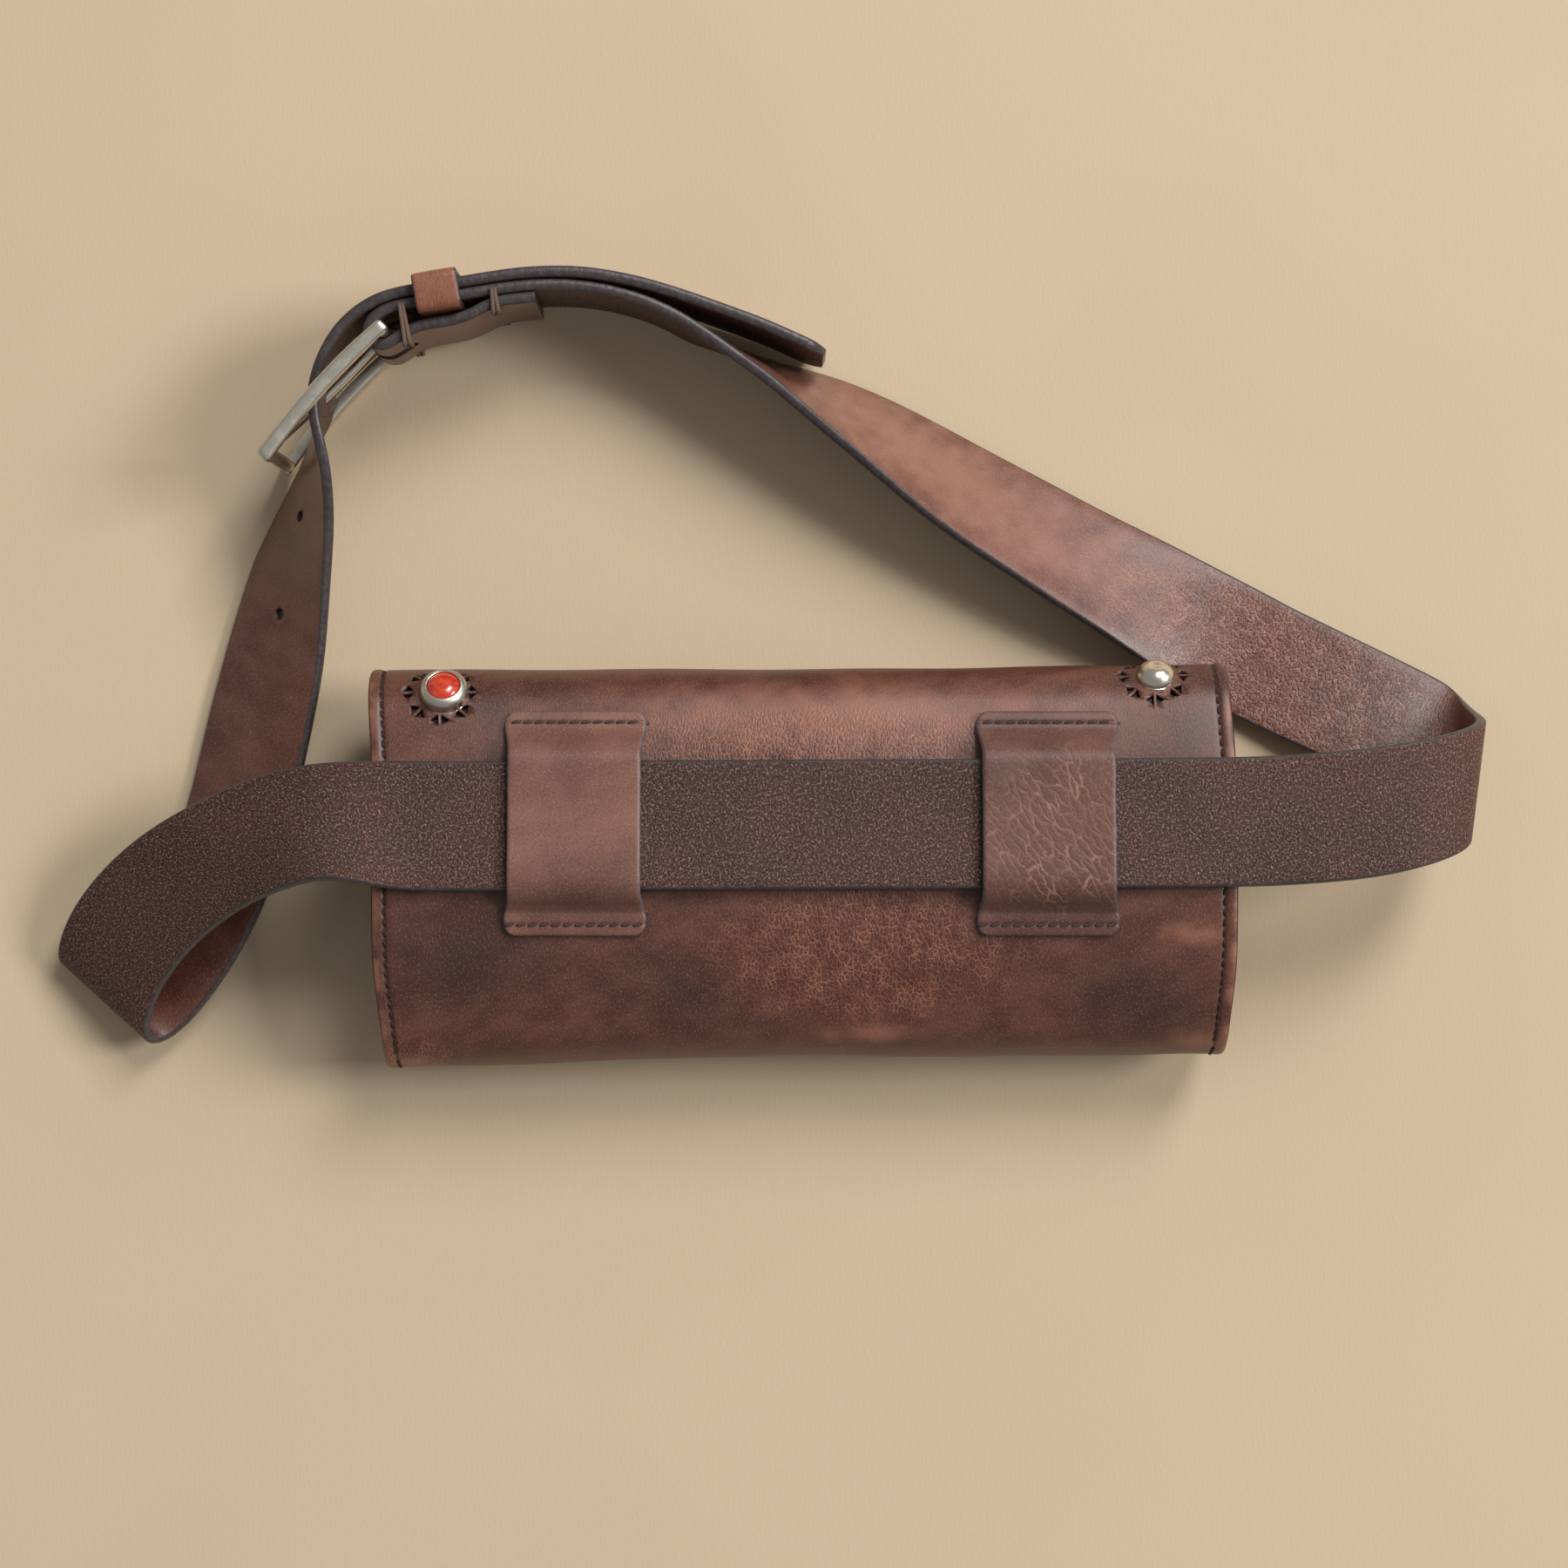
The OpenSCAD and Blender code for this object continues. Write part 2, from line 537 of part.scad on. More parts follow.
// A rail in plan, bowed a little to the outside.
module rail_plan() {
    bow = 1.6;
    function line(d) = [for (t = steps(0, 1, 10))
        [-2 + (frame_length + 4) * t, -bow * 4 * t * (1 - t) + d]];
    polygon(concat(line(rail_t / 2), reversed(line(-rail_t / 2))));
}

module buckle_frame() {
    low = buckle_z - frame_h / 2;
    color(silver) at_heel_bar(low) {
        for (z = [0, frame_h - rail_h]) translate([0, 0, z]) linear_extrude(rail_h) rail_plan();
        cylinder(h = frame_h, r = heel_bar_r, $fn = 32);
        translate([frame_length, 0, 0]) cylinder(h = frame_h, r = 2.1, $fn = 32);
    }
}

module buckle_prong() {
    ring_h = 5;
    color(silver) at_heel_bar(buckle_z) difference() {
        union() {
            translate([0, 0, -ring_h / 2]) cylinder(h = ring_h, r = 3.9, $fn = 48);
            prong_shape(0, 0, frame_length + 2);
        }
        translate([0, 0, -ring_h]) cylinder(h = 2 * ring_h, r = heel_bar_r + 0.08, $fn = 48);
    }
}

for (i = [0 : 5]) {
    wrap_segment(i);
    lining_segment(i);
    end_stitching(i);
}
brush_pocket();
brush_pocket_stitching();
tool_pocket();
tool_pocket_stitching();
belt_loop(0);  // belt_loop_left
belt_loop(1);  // belt_loop_right
loop_stitching(0);  // loop_stitching_left
loop_stitching(1);  // loop_stitching_right
stone_bezel();
coral_stone();
dome_button();
concho_post(0);  // stone_bezel_post
concho_post(1);  // dome_button_post
closure_magnets();
closure_plates();
belt_strap();
fold_tie(-117.3, 161, 9.8, -7, 4.4, 6.5);  // fold_tie_front
fold_tie(-91, 168, 8, -4.4, 2, 5.5);  // fold_tie_rear
strap_keeper();
buckle_frame();
buckle_prong();
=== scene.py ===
"""Looks of a brush roll case in brown pull-up leather, with a belt through its two loops.

Builds the leather, lining, pockets, thread, strap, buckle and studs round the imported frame.
Lengths are in millimetres until a mesh is made, and the frame is in metres.
"""

import json
import logging
import math
from dataclasses import dataclass
from enum import Enum
from functools import cache
from typing import Any, Iterable, Sequence

import bpy
import numpy as np
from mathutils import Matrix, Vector

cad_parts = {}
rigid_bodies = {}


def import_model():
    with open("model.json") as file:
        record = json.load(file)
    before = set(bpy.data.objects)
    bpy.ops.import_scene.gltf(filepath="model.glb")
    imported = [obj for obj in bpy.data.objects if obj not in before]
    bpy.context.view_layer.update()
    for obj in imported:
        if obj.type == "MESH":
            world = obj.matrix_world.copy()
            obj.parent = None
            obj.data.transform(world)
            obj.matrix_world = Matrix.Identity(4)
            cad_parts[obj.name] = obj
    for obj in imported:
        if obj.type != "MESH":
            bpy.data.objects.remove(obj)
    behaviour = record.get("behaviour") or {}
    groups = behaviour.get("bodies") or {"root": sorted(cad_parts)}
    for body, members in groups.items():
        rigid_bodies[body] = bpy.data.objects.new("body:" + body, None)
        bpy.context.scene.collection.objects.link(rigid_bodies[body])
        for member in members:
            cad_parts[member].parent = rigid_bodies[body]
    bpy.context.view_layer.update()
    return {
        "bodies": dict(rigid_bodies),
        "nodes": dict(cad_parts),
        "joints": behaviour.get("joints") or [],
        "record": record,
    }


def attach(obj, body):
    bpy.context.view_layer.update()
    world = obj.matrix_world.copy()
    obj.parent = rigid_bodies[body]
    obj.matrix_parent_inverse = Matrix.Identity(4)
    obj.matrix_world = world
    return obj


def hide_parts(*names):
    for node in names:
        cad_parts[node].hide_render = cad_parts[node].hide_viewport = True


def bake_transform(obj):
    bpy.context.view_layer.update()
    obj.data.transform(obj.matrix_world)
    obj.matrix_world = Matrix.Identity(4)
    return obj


LOG = logging.getLogger("brush_roll_case")
MM = 0.001
UV_NAME = "hide_mm"

Point = tuple[float, float, float]
Tree = bpy.types.NodeTree
Socket = bpy.types.NodeSocket


# ---------------------------------------------------------------- colour and nodes


def linear(colour: str) -> tuple[float, float, float, float]:
    """Turns an sRGB hex value into linear light.

    Args:
        colour: The colour as "#rrggbb".

    Returns:
        Red, green, blue and alpha, linear.
    """
    channels = [int(colour[i : i + 2], 16) / 255 for i in (1, 3, 5)]
    r, g, b = (c / 12.92 if c <= 0.04045 else ((c + 0.055) / 1.055) ** 2.4 for c in channels)
    return r, g, b, 1.0


def add_node(tree: Tree, kind: str, settings: dict[str, Any] | None = None,
             inputs: dict[Any, Any] | None = None) -> bpy.types.Node:
    """Adds one node with its settings and inputs.

    Args:
        tree: The node tree of a material or world.
        kind: The node's type name.
        settings: Attributes to set on the node.
        inputs: Values or sockets by input name or number; a socket is linked.

    Returns:
        The new node.
    """
    node = tree.nodes.new(kind)
    for name, value in (settings or {}).items():
        setattr(node, name, value)
    for name, value in (inputs or {}).items():
        if isinstance(value, bpy.types.NodeSocket):
            tree.links.new(value, node.inputs[name])
        else:
            node.inputs[name].default_value = value
    return node


class Kind(Enum):
    """The nodes that finishes are wired from: type, settings, inputs in order, and output."""

    ADD = ("Math", {"operation": "ADD"}, (0, 1), 0)
    SUBTRACT = ("Math", {"operation": "SUBTRACT"}, (0, 1), 0)
    MULTIPLY = ("Math", {"operation": "MULTIPLY"}, (0, 1), 0)
    MULTIPLY_ADD = ("Math", {"operation": "MULTIPLY_ADD"}, (0, 1, 2), 0)
    MAXIMUM = ("Math", {"operation": "MAXIMUM"}, (0, 1), 0)
    ABSOLUTE = ("Math", {"operation": "ABSOLUTE"}, (0,), 0)
    EASE = ("MapRange", {"interpolation_type": "SMOOTHSTEP"},
            ("Value", "From Min", "From Max", "To Min", "To Max"), 0)
    BLEND = ("Mix", {"data_type": "RGBA"}, (0, 6, 7), 2)
    NOISE = ("TexNoise", {"noise_dimensions": "2D"},
             ("Vector", "Scale", "Detail", "Roughness"), "Fac")
    STIR = ("TexNoise", {"noise_dimensions": "2D"}, ("Vector", "Scale"), "Color")
    CELLS = ("TexVoronoi", {"voronoi_dimensions": "2D", "feature": "DISTANCE_TO_EDGE"},
             ("Vector", "Scale"), "Distance")
    TIPS = ("TexVoronoi", {"voronoi_dimensions": "2D", "feature": "F1"},
            ("Vector", "Scale"), "Distance")
    PLIES = ("TexWave", {"wave_type": "BANDS"}, ("Vector", "Scale", "Distortion"), "Fac")
    SPLIT = ("SeparateXYZ", {}, (0,), "X")
    V_ADD = ("VectorMath", {"operation": "ADD"}, (0, 1), 0)
    V_SUBTRACT = ("VectorMath", {"operation": "SUBTRACT"}, (0, 1), 0)
    V_DIVIDE = ("VectorMath", {"operation": "DIVIDE"}, (0, 1), 0)
    V_MULTIPLY_ADD = ("VectorMath", {"operation": "MULTIPLY_ADD"}, (0, 1, 2), 0)
    V_LENGTH = ("VectorMath", {"operation": "LENGTH"}, (0,), "Value")
    TURN = ("Mapping", {"vector_type": "TEXTURE"}, ("Vector", "Rotation", "Scale"), 0)
    BUMP = ("Bump", {}, ("Height", "Strength", "Distance"), 0)


class Pattern:
    """Wires heights, masks and colours of one material."""

    def __init__(self, name: str) -> None:
        """Starts an empty material.

        Args:
            name: The material's name, after the real stuff and its making.
        """
        self.material = bpy.data.materials.new(name)
        self.material.use_nodes = True
        self.tree = self.material.node_tree
        self.tree.nodes.clear()
        self.uv = add_node(self.tree, "ShaderNodeUVMap", {"uv_map": UV_NAME}).outputs["UV"]

    def add(self, kind: Kind, *values: Any) -> Socket:
        """Adds a node to the pattern.

        Args:
            kind: The node.
            *values: Its inputs in order: numbers, hex colours or sockets. A noise or a cell
                pattern takes one over its feature size in millimetres as its scale.

        Returns:
            The node's output.
        """
        stem, settings, names, output = kind.value
        inputs = {n: linear(v) if isinstance(v, str) else v for n, v in zip(names, values)}
        return add_node(self.tree, "ShaderNode" + stem, settings, inputs).outputs[output]

    def moved(self, turn: float = 0.0, longer: float = 1.0, warp: float = 0.0,
              warp_size: float = 4.0) -> Socket:
        """The place on the hide, for a pattern that is drawn out along one direction.

        Args:
            turn: The direction, in degrees.
            longer: How many times longer the pattern is along it.
            warp: How far the place is stirred, in millimetres.
            warp_size: Size of the stirring.

        Returns:
            The place.
        """
        where = self.uv
        if warp:
            stir = self.add(Kind.STIR, self.uv, 1 / warp_size)
            shift = self.add(Kind.V_MULTIPLY_ADD, stir, (2 * warp,) * 3, (-warp,) * 3)
            where = self.add(Kind.V_ADD, self.uv, shift)
        return self.add(Kind.TURN, where, (0, 0, math.radians(turn)), (longer, 1, 1))

    def spot(self, centre: tuple[float, float], size: tuple[float, float],
             ragged: float = 0.35, full: float = 0.45) -> Socket:
        """An oval patch of the hide.

        Args:
            centre: Its middle, in millimetres.
            size: Its half-size, in millimetres.
            ragged: How uneven its outline is.
            full: The share of its half-size that it fills before it fades.

        Returns:
            1 in the middle, fading to 0 outside.
        """
        shift = self.add(Kind.V_SUBTRACT, self.uv, (*centre, 0))
        length = self.add(Kind.V_LENGTH, self.add(Kind.V_DIVIDE, shift, (*size, 1)))
        uneven = self.add(Kind.MULTIPLY_ADD, self.add(Kind.NOISE, self.uv, 1 / 9, 3.0),
                          2 * ragged, -ragged)
        return self.add(Kind.EASE, self.add(Kind.ADD, length, uneven), full, 1.2, 1, 0)

    def finish(self, colour: Any, roughness: Any, height: Any, depth: float,
               settings: dict[str, Any]) -> bpy.types.Material:
        """Ends the material in one principled shader.

        Args:
            colour: Hex string or socket.
            roughness: Number or socket.
            height: Height of the surface from 0 to 1, or None.
            depth: How deep the height goes, in millimetres.
            settings: Uniform values for the shader's own sockets.

        Returns:
            The material.
        """
        inputs = {"Base Color": linear(colour) if isinstance(colour, str) else colour,
                  "Roughness": roughness, **settings}
        if height is not None:
            inputs["Normal"] = self.add(Kind.BUMP, height, 1.0, depth * MM)
        shader = add_node(self.tree, "ShaderNodeBsdfPrincipled", {}, inputs)
        add_node(self.tree, "ShaderNodeOutputMaterial", {}, {"Surface": shader.outputs[0]})
        return self.material


# ---------------------------------------------------------------- finishes


Patch = tuple[float, float, float, float]


@dataclass(frozen=True)
class PullUpLeather:
    """Waxed, drum-dyed cowhide: soft sheen, cloudy colour, lighter where it creases.

    A patch is its centre and half-size on the hide, in millimetres.
    """

    name: str
    base: str
    dark: str
    # Colour of wear and creases; the pale patches also use it for painted highlights.
    worn: str
    crackle: str
    cell: float = 1.5  # creased cells, 1 to 2 mm on a real hide
    longer: float = 1.5
    turn: float = 80.0
    crackled: float = 0.1  # share of crackle away from the patches
    depth: float = 0.2
    roughness: float = 0.42
    # Dark patches: real patina, and painted shade where a part turns from the light.
    dark_and_shade_patches: tuple[Patch, ...] = ()
    red_patches: tuple[Patch, ...] = ()
    # Pale patches: real scuffs, and painted highlights where a part faces the light.
    scuff_and_highlight_patches: tuple[Patch, ...] = ()
    pale: float = 0.6
    fine: float = 1.0
    coat: float = 0.0
    stitch_line: float = 0.0

    def make(self) -> bpy.types.Material:
        """Returns the material."""
        p = Pattern(self.name)
        cloud = p.add(Kind.EASE, p.add(Kind.NOISE, p.uv, 1 / 52, 3.0), 0.36, 0.66)
        mottle = p.add(Kind.EASE, p.add(Kind.NOISE, p.moved(20, 1.6), 1 / 9, 4.0, 0.55), 0.3, 0.72)
        colour = p.add(Kind.BLEND, p.add(Kind.MULTIPLY, cloud, 0.45), self.base, self.dark)
        colour = p.add(Kind.BLEND, p.add(Kind.MULTIPLY, mottle, 0.16), colour, self.worn)
        islands = p.add(Kind.NOISE, p.moved(20, 1.4, 6, 20), 1 / 34, 3.0)
        broken = p.add(Kind.EASE, islands, 0.48, 0.7, 0, self.crackled)
        for x, y, w, h in self.red_patches:
            broken = p.add(Kind.MAXIMUM, broken, p.spot((x, y), (w, h)))
        # Dark patches: real patina, and painted shade.
        for x, y, w, h in self.dark_and_shade_patches:
            here = p.add(Kind.MULTIPLY, p.spot((x, y), (w, h), 0.3, 0.0), 0.75)
            colour = p.add(Kind.BLEND, here, colour, self.dark)
        tint = p.add(Kind.EASE, p.add(Kind.NOISE, p.uv, 1 / 10, 4.0), 0.3, 0.7, 0.4, 0.85)
        reddish = p.add(Kind.MULTIPLY, broken, tint)
        colour = p.add(Kind.BLEND, reddish, colour, self.crackle)
        stirred = p.moved(self.turn, self.longer, 1.1, 3.4)
        big = p.add(Kind.CELLS, stirred, 1 / self.cell)
        small = p.add(Kind.CELLS, stirred, 1 / (self.cell * 0.55))
        # Pores are 0.1 mm in reality; they are drawn at 0.5 mm so that they show.
        pores = p.add(Kind.NOISE, p.moved(self.turn, 1.7), 1 / 0.5, 3.0, 0.65)
        lines = p.add(Kind.MAXIMUM, p.add(Kind.EASE, big, 0.02, 0.1, 1, 0),
                      p.add(Kind.EASE, small, 0.02, 0.1, 0.75 * self.fine, 0))
        uneven = p.add(Kind.EASE, p.add(Kind.NOISE, stirred, 1 / 5, 3.0), 0.35, 0.65, 0.25, 1)
        crease = p.add(Kind.MULTIPLY, p.add(Kind.MULTIPLY, lines, broken), uneven)
        colour = p.add(Kind.BLEND, p.add(Kind.MULTIPLY, crease, 0.85), colour, self.worn)
        colour = p.add(Kind.BLEND, p.add(Kind.EASE, pores, 0.54, 0.72, 0.0, 0.4), colour, self.worn)
        colour = p.add(Kind.BLEND, p.add(Kind.EASE, pores, 0.28, 0.46, 0.45, 0.0), colour,
                       self.dark)
        # Pale patches, lightened towards the worn colour: real scuffs, and painted highlights.
        for x, y, w, h in self.scuff_and_highlight_patches:
            here = p.add(Kind.MULTIPLY, p.spot((x, y), (w, h), 0.5, 0.0), self.pale)
            colour = p.add(Kind.BLEND, here, colour, self.worn)
        height = p.add(Kind.MULTIPLY, p.add(Kind.EASE, big, 0.0, 0.3),
                       p.add(Kind.MULTIPLY_ADD, broken, 0.7, 0.04))
        height = p.add(Kind.MULTIPLY_ADD, p.add(Kind.EASE, small, 0, 0.35),
                       p.add(Kind.MULTIPLY_ADD, broken, 0.3 * self.fine, 0.06), height)
        height = p.add(Kind.MULTIPLY_ADD, pores, 0.4, height)
        if self.stitch_line:
            along = p.add(Kind.SPLIT, p.uv)
            inset = p.add(Kind.SUBTRACT, self.stitch_line, p.add(Kind.ABSOLUTE, along))
            off = p.add(Kind.ABSOLUTE, p.add(Kind.SUBTRACT, inset, 3.9))
            near = p.add(Kind.EASE, off, 0.1, 0.9, 0.75, 0)
            colour = p.add(Kind.BLEND, near, colour, self.dark)
            rubbed = p.add(Kind.MULTIPLY, p.add(Kind.EASE, inset, 0.2, 3.2, 0.7, 0), mottle)
            colour = p.add(Kind.BLEND, rubbed, colour, self.worn)
        rough = p.add(Kind.MULTIPLY_ADD, mottle, 0.06, self.roughness - 0.05)
        rough = p.add(Kind.MULTIPLY_ADD, pores, 0.12, rough)
        return p.finish(colour, rough, height, self.depth, {
            "Specular IOR Level": 0.5, "Coat Weight": self.coat, "Coat Roughness": 0.3})


@dataclass(frozen=True)
class SplitLeather:
    """The flesh side of thick strap leather: shaved and waxed fibre, dark with bright tips."""

    name: str
    base: str
    dark: str
    fibre: str
    grit: float = 0.62  # fibre clumps; real ones are 0.4 mm and would not show
    depth: float = 0.26
    roughness: float = 0.44

    def make(self) -> bpy.types.Material:
        """Returns the material."""
        p = Pattern(self.name)
        cloud = p.add(Kind.EASE, p.add(Kind.NOISE, p.uv, 1 / 30, 4.0), 0.35, 0.68)
        clump = p.add(Kind.NOISE, p.moved(15, 1.2, 0.3, 1.2), 1 / self.grit, 4.0, 0.75)
        tips = p.add(Kind.TIPS, p.moved(0, 1, 0.25, 1.0), 1 / self.grit)
        colour = p.add(Kind.BLEND, p.add(Kind.MULTIPLY, cloud, 0.45), self.base, self.dark)
        colour = p.add(Kind.BLEND, p.add(Kind.EASE, clump, 0.36, 0.52, 0.9, 0.0), colour, self.dark)
        colour = p.add(Kind.BLEND, p.add(Kind.EASE, clump, 0.53, 0.68, 0.0, 0.95), colour,
                       self.fibre)
        height = p.add(Kind.MULTIPLY_ADD, tips, -0.6, clump)
        rough = p.add(Kind.EASE, clump, 0.3, 0.7, self.roughness + 0.15, self.roughness - 0.05)
        return p.finish(colour, rough, height, self.depth, {"Specular IOR Level": 0.5})


@dataclass(frozen=True)
class PaintedEdge:
    """Cut leather edge, sealed with layers of edge paint: smooth, dark and rounded."""

    name: str
    base: str
    light: str
    roughness: float = 0.38

    def make(self) -> bpy.types.Material:
        """Returns the material."""
        p = Pattern(self.name)
        patchy = p.add(Kind.EASE, p.add(Kind.NOISE, p.uv, 1 / 2.2, 5.0, 0.65), 0.4, 0.75, 0.0, 0.5)
        lumps = p.add(Kind.NOISE, p.uv, 1 / 1.6, 3.0)
        colour = p.add(Kind.BLEND, patchy, self.base, self.light)
        return p.finish(colour, self.roughness, lumps, 0.12, {})


@dataclass(frozen=True)
class Suede:
    """Split pigskin buffed to a nap: matt, soft, lighter where it is brushed."""

    name: str
    base: str
    nap: str

    def make(self) -> bpy.types.Material:
        """Returns the material."""
        p = Pattern(self.name)
        brushed = p.add(Kind.EASE, p.add(Kind.NOISE, p.moved(30, 2, 3, 9), 1 / 14, 5.0), 0.35, 0.68)
        fluff = p.add(Kind.NOISE, p.uv, 1 / 0.8, 4.0, 0.75)
        colour = p.add(Kind.BLEND, p.add(Kind.MULTIPLY, brushed, 0.55), self.base, self.nap)
        colour = p.add(Kind.BLEND, p.add(Kind.EASE, fluff, 0.35, 0.7, 0.35, 0), colour, "#5e4632")
        return p.finish(colour, 0.92, fluff, 0.18, {
            "Sheen Weight": 0.35, "Sheen Roughness": 0.45, "Specular IOR Level": 0.2})


@dataclass(frozen=True)
class WaxedThread:
    """Twisted linen thread drawn through wax: dark, with a slight shine along its plies."""

    name: str
    base: str
    light: str

    def make(self) -> bpy.types.Material:
        """Returns the material."""
        p = Pattern(self.name)
        ply = p.add(Kind.PLIES, p.moved(35), 1.1, 0.4)
        colour = p.add(Kind.BLEND, p.add(Kind.EASE, ply, 0.3, 0.9, 0, 0.6), self.base, self.light)
        return p.finish(colour, 0.5, ply, 0.08, {})


@dataclass(frozen=True)
class CastSilver:
    """Cast silver, tumbled and worn: soft mirror with fine rubbed scratches and dull hollows."""

    name: str
    base: str
    dull: str
    roughness: float
    scratch: float = 0.03

    def make(self) -> bpy.types.Material:
        """Returns the material."""
        p = Pattern(self.name)
        dull = p.add(Kind.EASE, p.add(Kind.NOISE, p.uv, 1 / 4, 5.0, 0.65), 0.4, 0.75)
        rubs = p.add(Kind.NOISE, p.moved(12, 8, 1.2, 5), 1 / 0.9, 4.0, 0.7)
        colour = p.add(Kind.BLEND, p.add(Kind.MULTIPLY, dull, 0.5), self.base, self.dull)
        rough = p.add(Kind.MULTIPLY_ADD, dull, 0.14, self.roughness)
        rough = p.add(Kind.MULTIPLY_ADD, rubs, 0.1, p.add(Kind.SUBTRACT, rough, 0.05))
        return p.finish(colour, rough, p.add(Kind.MULTIPLY_ADD, dull, 0.5, rubs), self.scratch,
                        {"Metallic": 1.0})


@dataclass(frozen=True)
class PolishedCoral:
    """A polished red stone: glassy coat over an orange-red body with brown veins."""

    name: str = "polished_coral"

    def make(self) -> bpy.types.Material:
        """Returns the material."""
        p = Pattern(self.name)
        stirred = p.moved(25, 1.7, 1.2, 3)
        veins = p.add(Kind.EASE, p.add(Kind.CELLS, stirred, 1 / 4.2), 0.0, 0.05, 0.7, 0)
        spots = p.add(Kind.EASE, p.add(Kind.NOISE, stirred, 1 / 0.9, 4.0, 0.6), 0.56, 0.72, 0, 0.55)
        clouds = p.add(Kind.EASE, p.add(Kind.NOISE, p.uv, 1 / 3.2), 0.3, 0.7)
        colour = p.add(Kind.BLEND, clouds, "#dd4a2c", "#c93321")
        colour = p.add(Kind.BLEND, p.add(Kind.MAXIMUM, veins, spots), colour, "#7c2a18")
        return p.finish(colour, 0.2, None, 0, {"Coat Weight": 0.8, "Coat Roughness": 0.06})


# Waxed cowhide off the drum: cloudy brown, a soft sheen, pale in the creases.
# Its patches are in millimetres on the hide: X along the case, V round the section.
# Its first pale patch is painted highlight: the band along the crown, by the flap's shoulder, that
# faces the light.
CASE_LEATHER = PullUpLeather(
    "waxed_pull_up_cowhide", "#573126", "#35211e", "#a66f57", "#4d2217", stitch_line=126.5,
    cell=1.3, longer=1.9, depth=0.14, roughness=0.39, coat=0.1,
    dark_and_shade_patches=((-34, -36, 22, 18), (-100, -26, 30, 22), (96, -40, 26, 22)),
    red_patches=((18, -26, 50, 26), (2, 38, 56, 11), (-118, -60, 16, 10)),
    scuff_and_highlight_patches=((12, 46, 92, 13), (113, -19, 10, 4), (117, -57, 12, 6), (-120, -62, 9, 5),
                  (20, -53, 18, 5)))
# The same hide where it is smooth: even brown with fine slanted pores.
# Its dark patch is painted shade on the lower part of the loop, where it rises from its lower foot.
LOOP_LEATHER = PullUpLeather(
    "smooth_pull_up_cowhide", "#82574a", "#4f332b", "#ab7f6e", "#6f4233", cell=1.1, longer=2.4,
    turn=-38.0, crackled=0.12, depth=0.1, dark_and_shade_patches=((3, -22, 26, 18),))
# A belly cut of it: pale slanted wrinkles across a smooth face.
# Its dark patch is painted shade on the lower part of the loop, where it rises from its lower foot.
WRINKLED_LEATHER = PullUpLeather(
    "wrinkled_pull_up_cowhide", "#69433a", "#432b25", "#9d7465", "#64402f", cell=2.3,
    longer=3.4, turn=-52.0, depth=0.06, fine=0.3, dark_and_shade_patches=((5, -24, 26, 18),),
    red_patches=((6, -4, 30, 26),))
# Bridle leather, glazed: shinier, red-brown, creased where it has been bent.
# Its pale patch is painted highlight on the middle of the right return, where the strap faces the
# light.
STRAP_GRAIN = PullUpLeather(
    "bridle_strap_grain_side", "#65392d", "#3a2019", "#a87866", "#542719", cell=1.5,
    longer=1.4, turn=20.0, crackled=0.16, roughness=0.36, coat=0.25,
    dark_and_shade_patches=((0, 866, 28, 40),), red_patches=((0, 900, 30, 60),),
    scuff_and_highlight_patches=((0, 1015, 26, 90),))
# Its shaved back: nearly black, speckled with bright fibre tips.
STRAP_FLESH = SplitLeather("bridle_strap_flesh_side", "#4c241b", "#120806", "#a07a68")
# Tan cowhide, polished by the thumb: the lightest and smoothest leather.
KEEPER_LEATHER = PullUpLeather(
    "polished_tan_cowhide", "#8f5a43", "#683825", "#b57d62", "#7c4029", cell=0.9,
    depth=0.12, roughness=0.38)
# The back of the case leather: dull, fibrous, mid brown.
WRAP_FLESH = SplitLeather("case_leather_flesh_side", "#73513f", "#422b22", "#a5836d")
# Painted cut edges: dark smooth lines that outline every panel.
CASE_EDGE = PaintedEdge("edge_paint_dark_brown", "#2c1d1a", "#54392f")
STRAP_EDGE = PaintedEdge("edge_paint_slate_brown", "#3c3434", "#5d5352")
LOOP_EDGE = PaintedEdge("edge_paint_blue_grey", "#505058", "#75757d")
# The inside of a punched hole: dull, and painted near black as shade deep inside it.
PUNCHED = PaintedEdge("punched_leather_pit", "#1a0f0d", "#3a241d", 0.55)
# Buffed pigskin: matt and sandy, cloudy where the nap lies both ways.
LINING = Suede("buffed_pigskin_lining", "#a08061", "#bd9c7b")
# Thin cowhide: an even brown with a faint grain.
POCKET = PullUpLeather(
    "pocket_cowhide", "#73493b", "#4f3228", "#99705f", "#6a3a2c", cell=0.9, depth=0.14)
# Waxed linen: almost black, with a slight twist.
THREAD = WaxedThread("waxed_linen_thread", "#2b1813", "#5b3a2f")
# Thin leather lace: brown with a waxed shine.
LACE = WaxedThread("waxed_leather_lace", "#594033", "#8b6c58")
# Cast and tumbled silver: a soft grey-white mirror with rubbed scratches.
SILVER = CastSilver("worn_cast_silver", "#e4decf", "#b3aa9b", 0.33)
# The same, polished: a clear warm reflection.
BRIGHT_SILVER = CastSilver("polished_cast_silver", "#efe6d6", "#cfc1ab", 0.22, 0.012)
# Plated steel: a cool grey under the lining.
STEEL = CastSilver("plated_steel", "#8f8e8c", "#6f6d6a", 0.34)


class Skin(Enum):
    """Which face of a leather piece a mesh face belongs to."""

    OUTER = 0
    INNER = 1
    EDGE = 2
    PIT = 3


class Body(Enum):
    """Bodies of the frame."""

    FRONT = "front_panel"
    LOWER = "lower_fold"
    UPPER = "upper_fold"
    BACK = "back_panel"
    BELT = "belt"
    KEEPER = "keeper"
    BUCKLE = "buckle"
    PRONG = "prong"


# ---------------------------------------------------------------- mesh tools


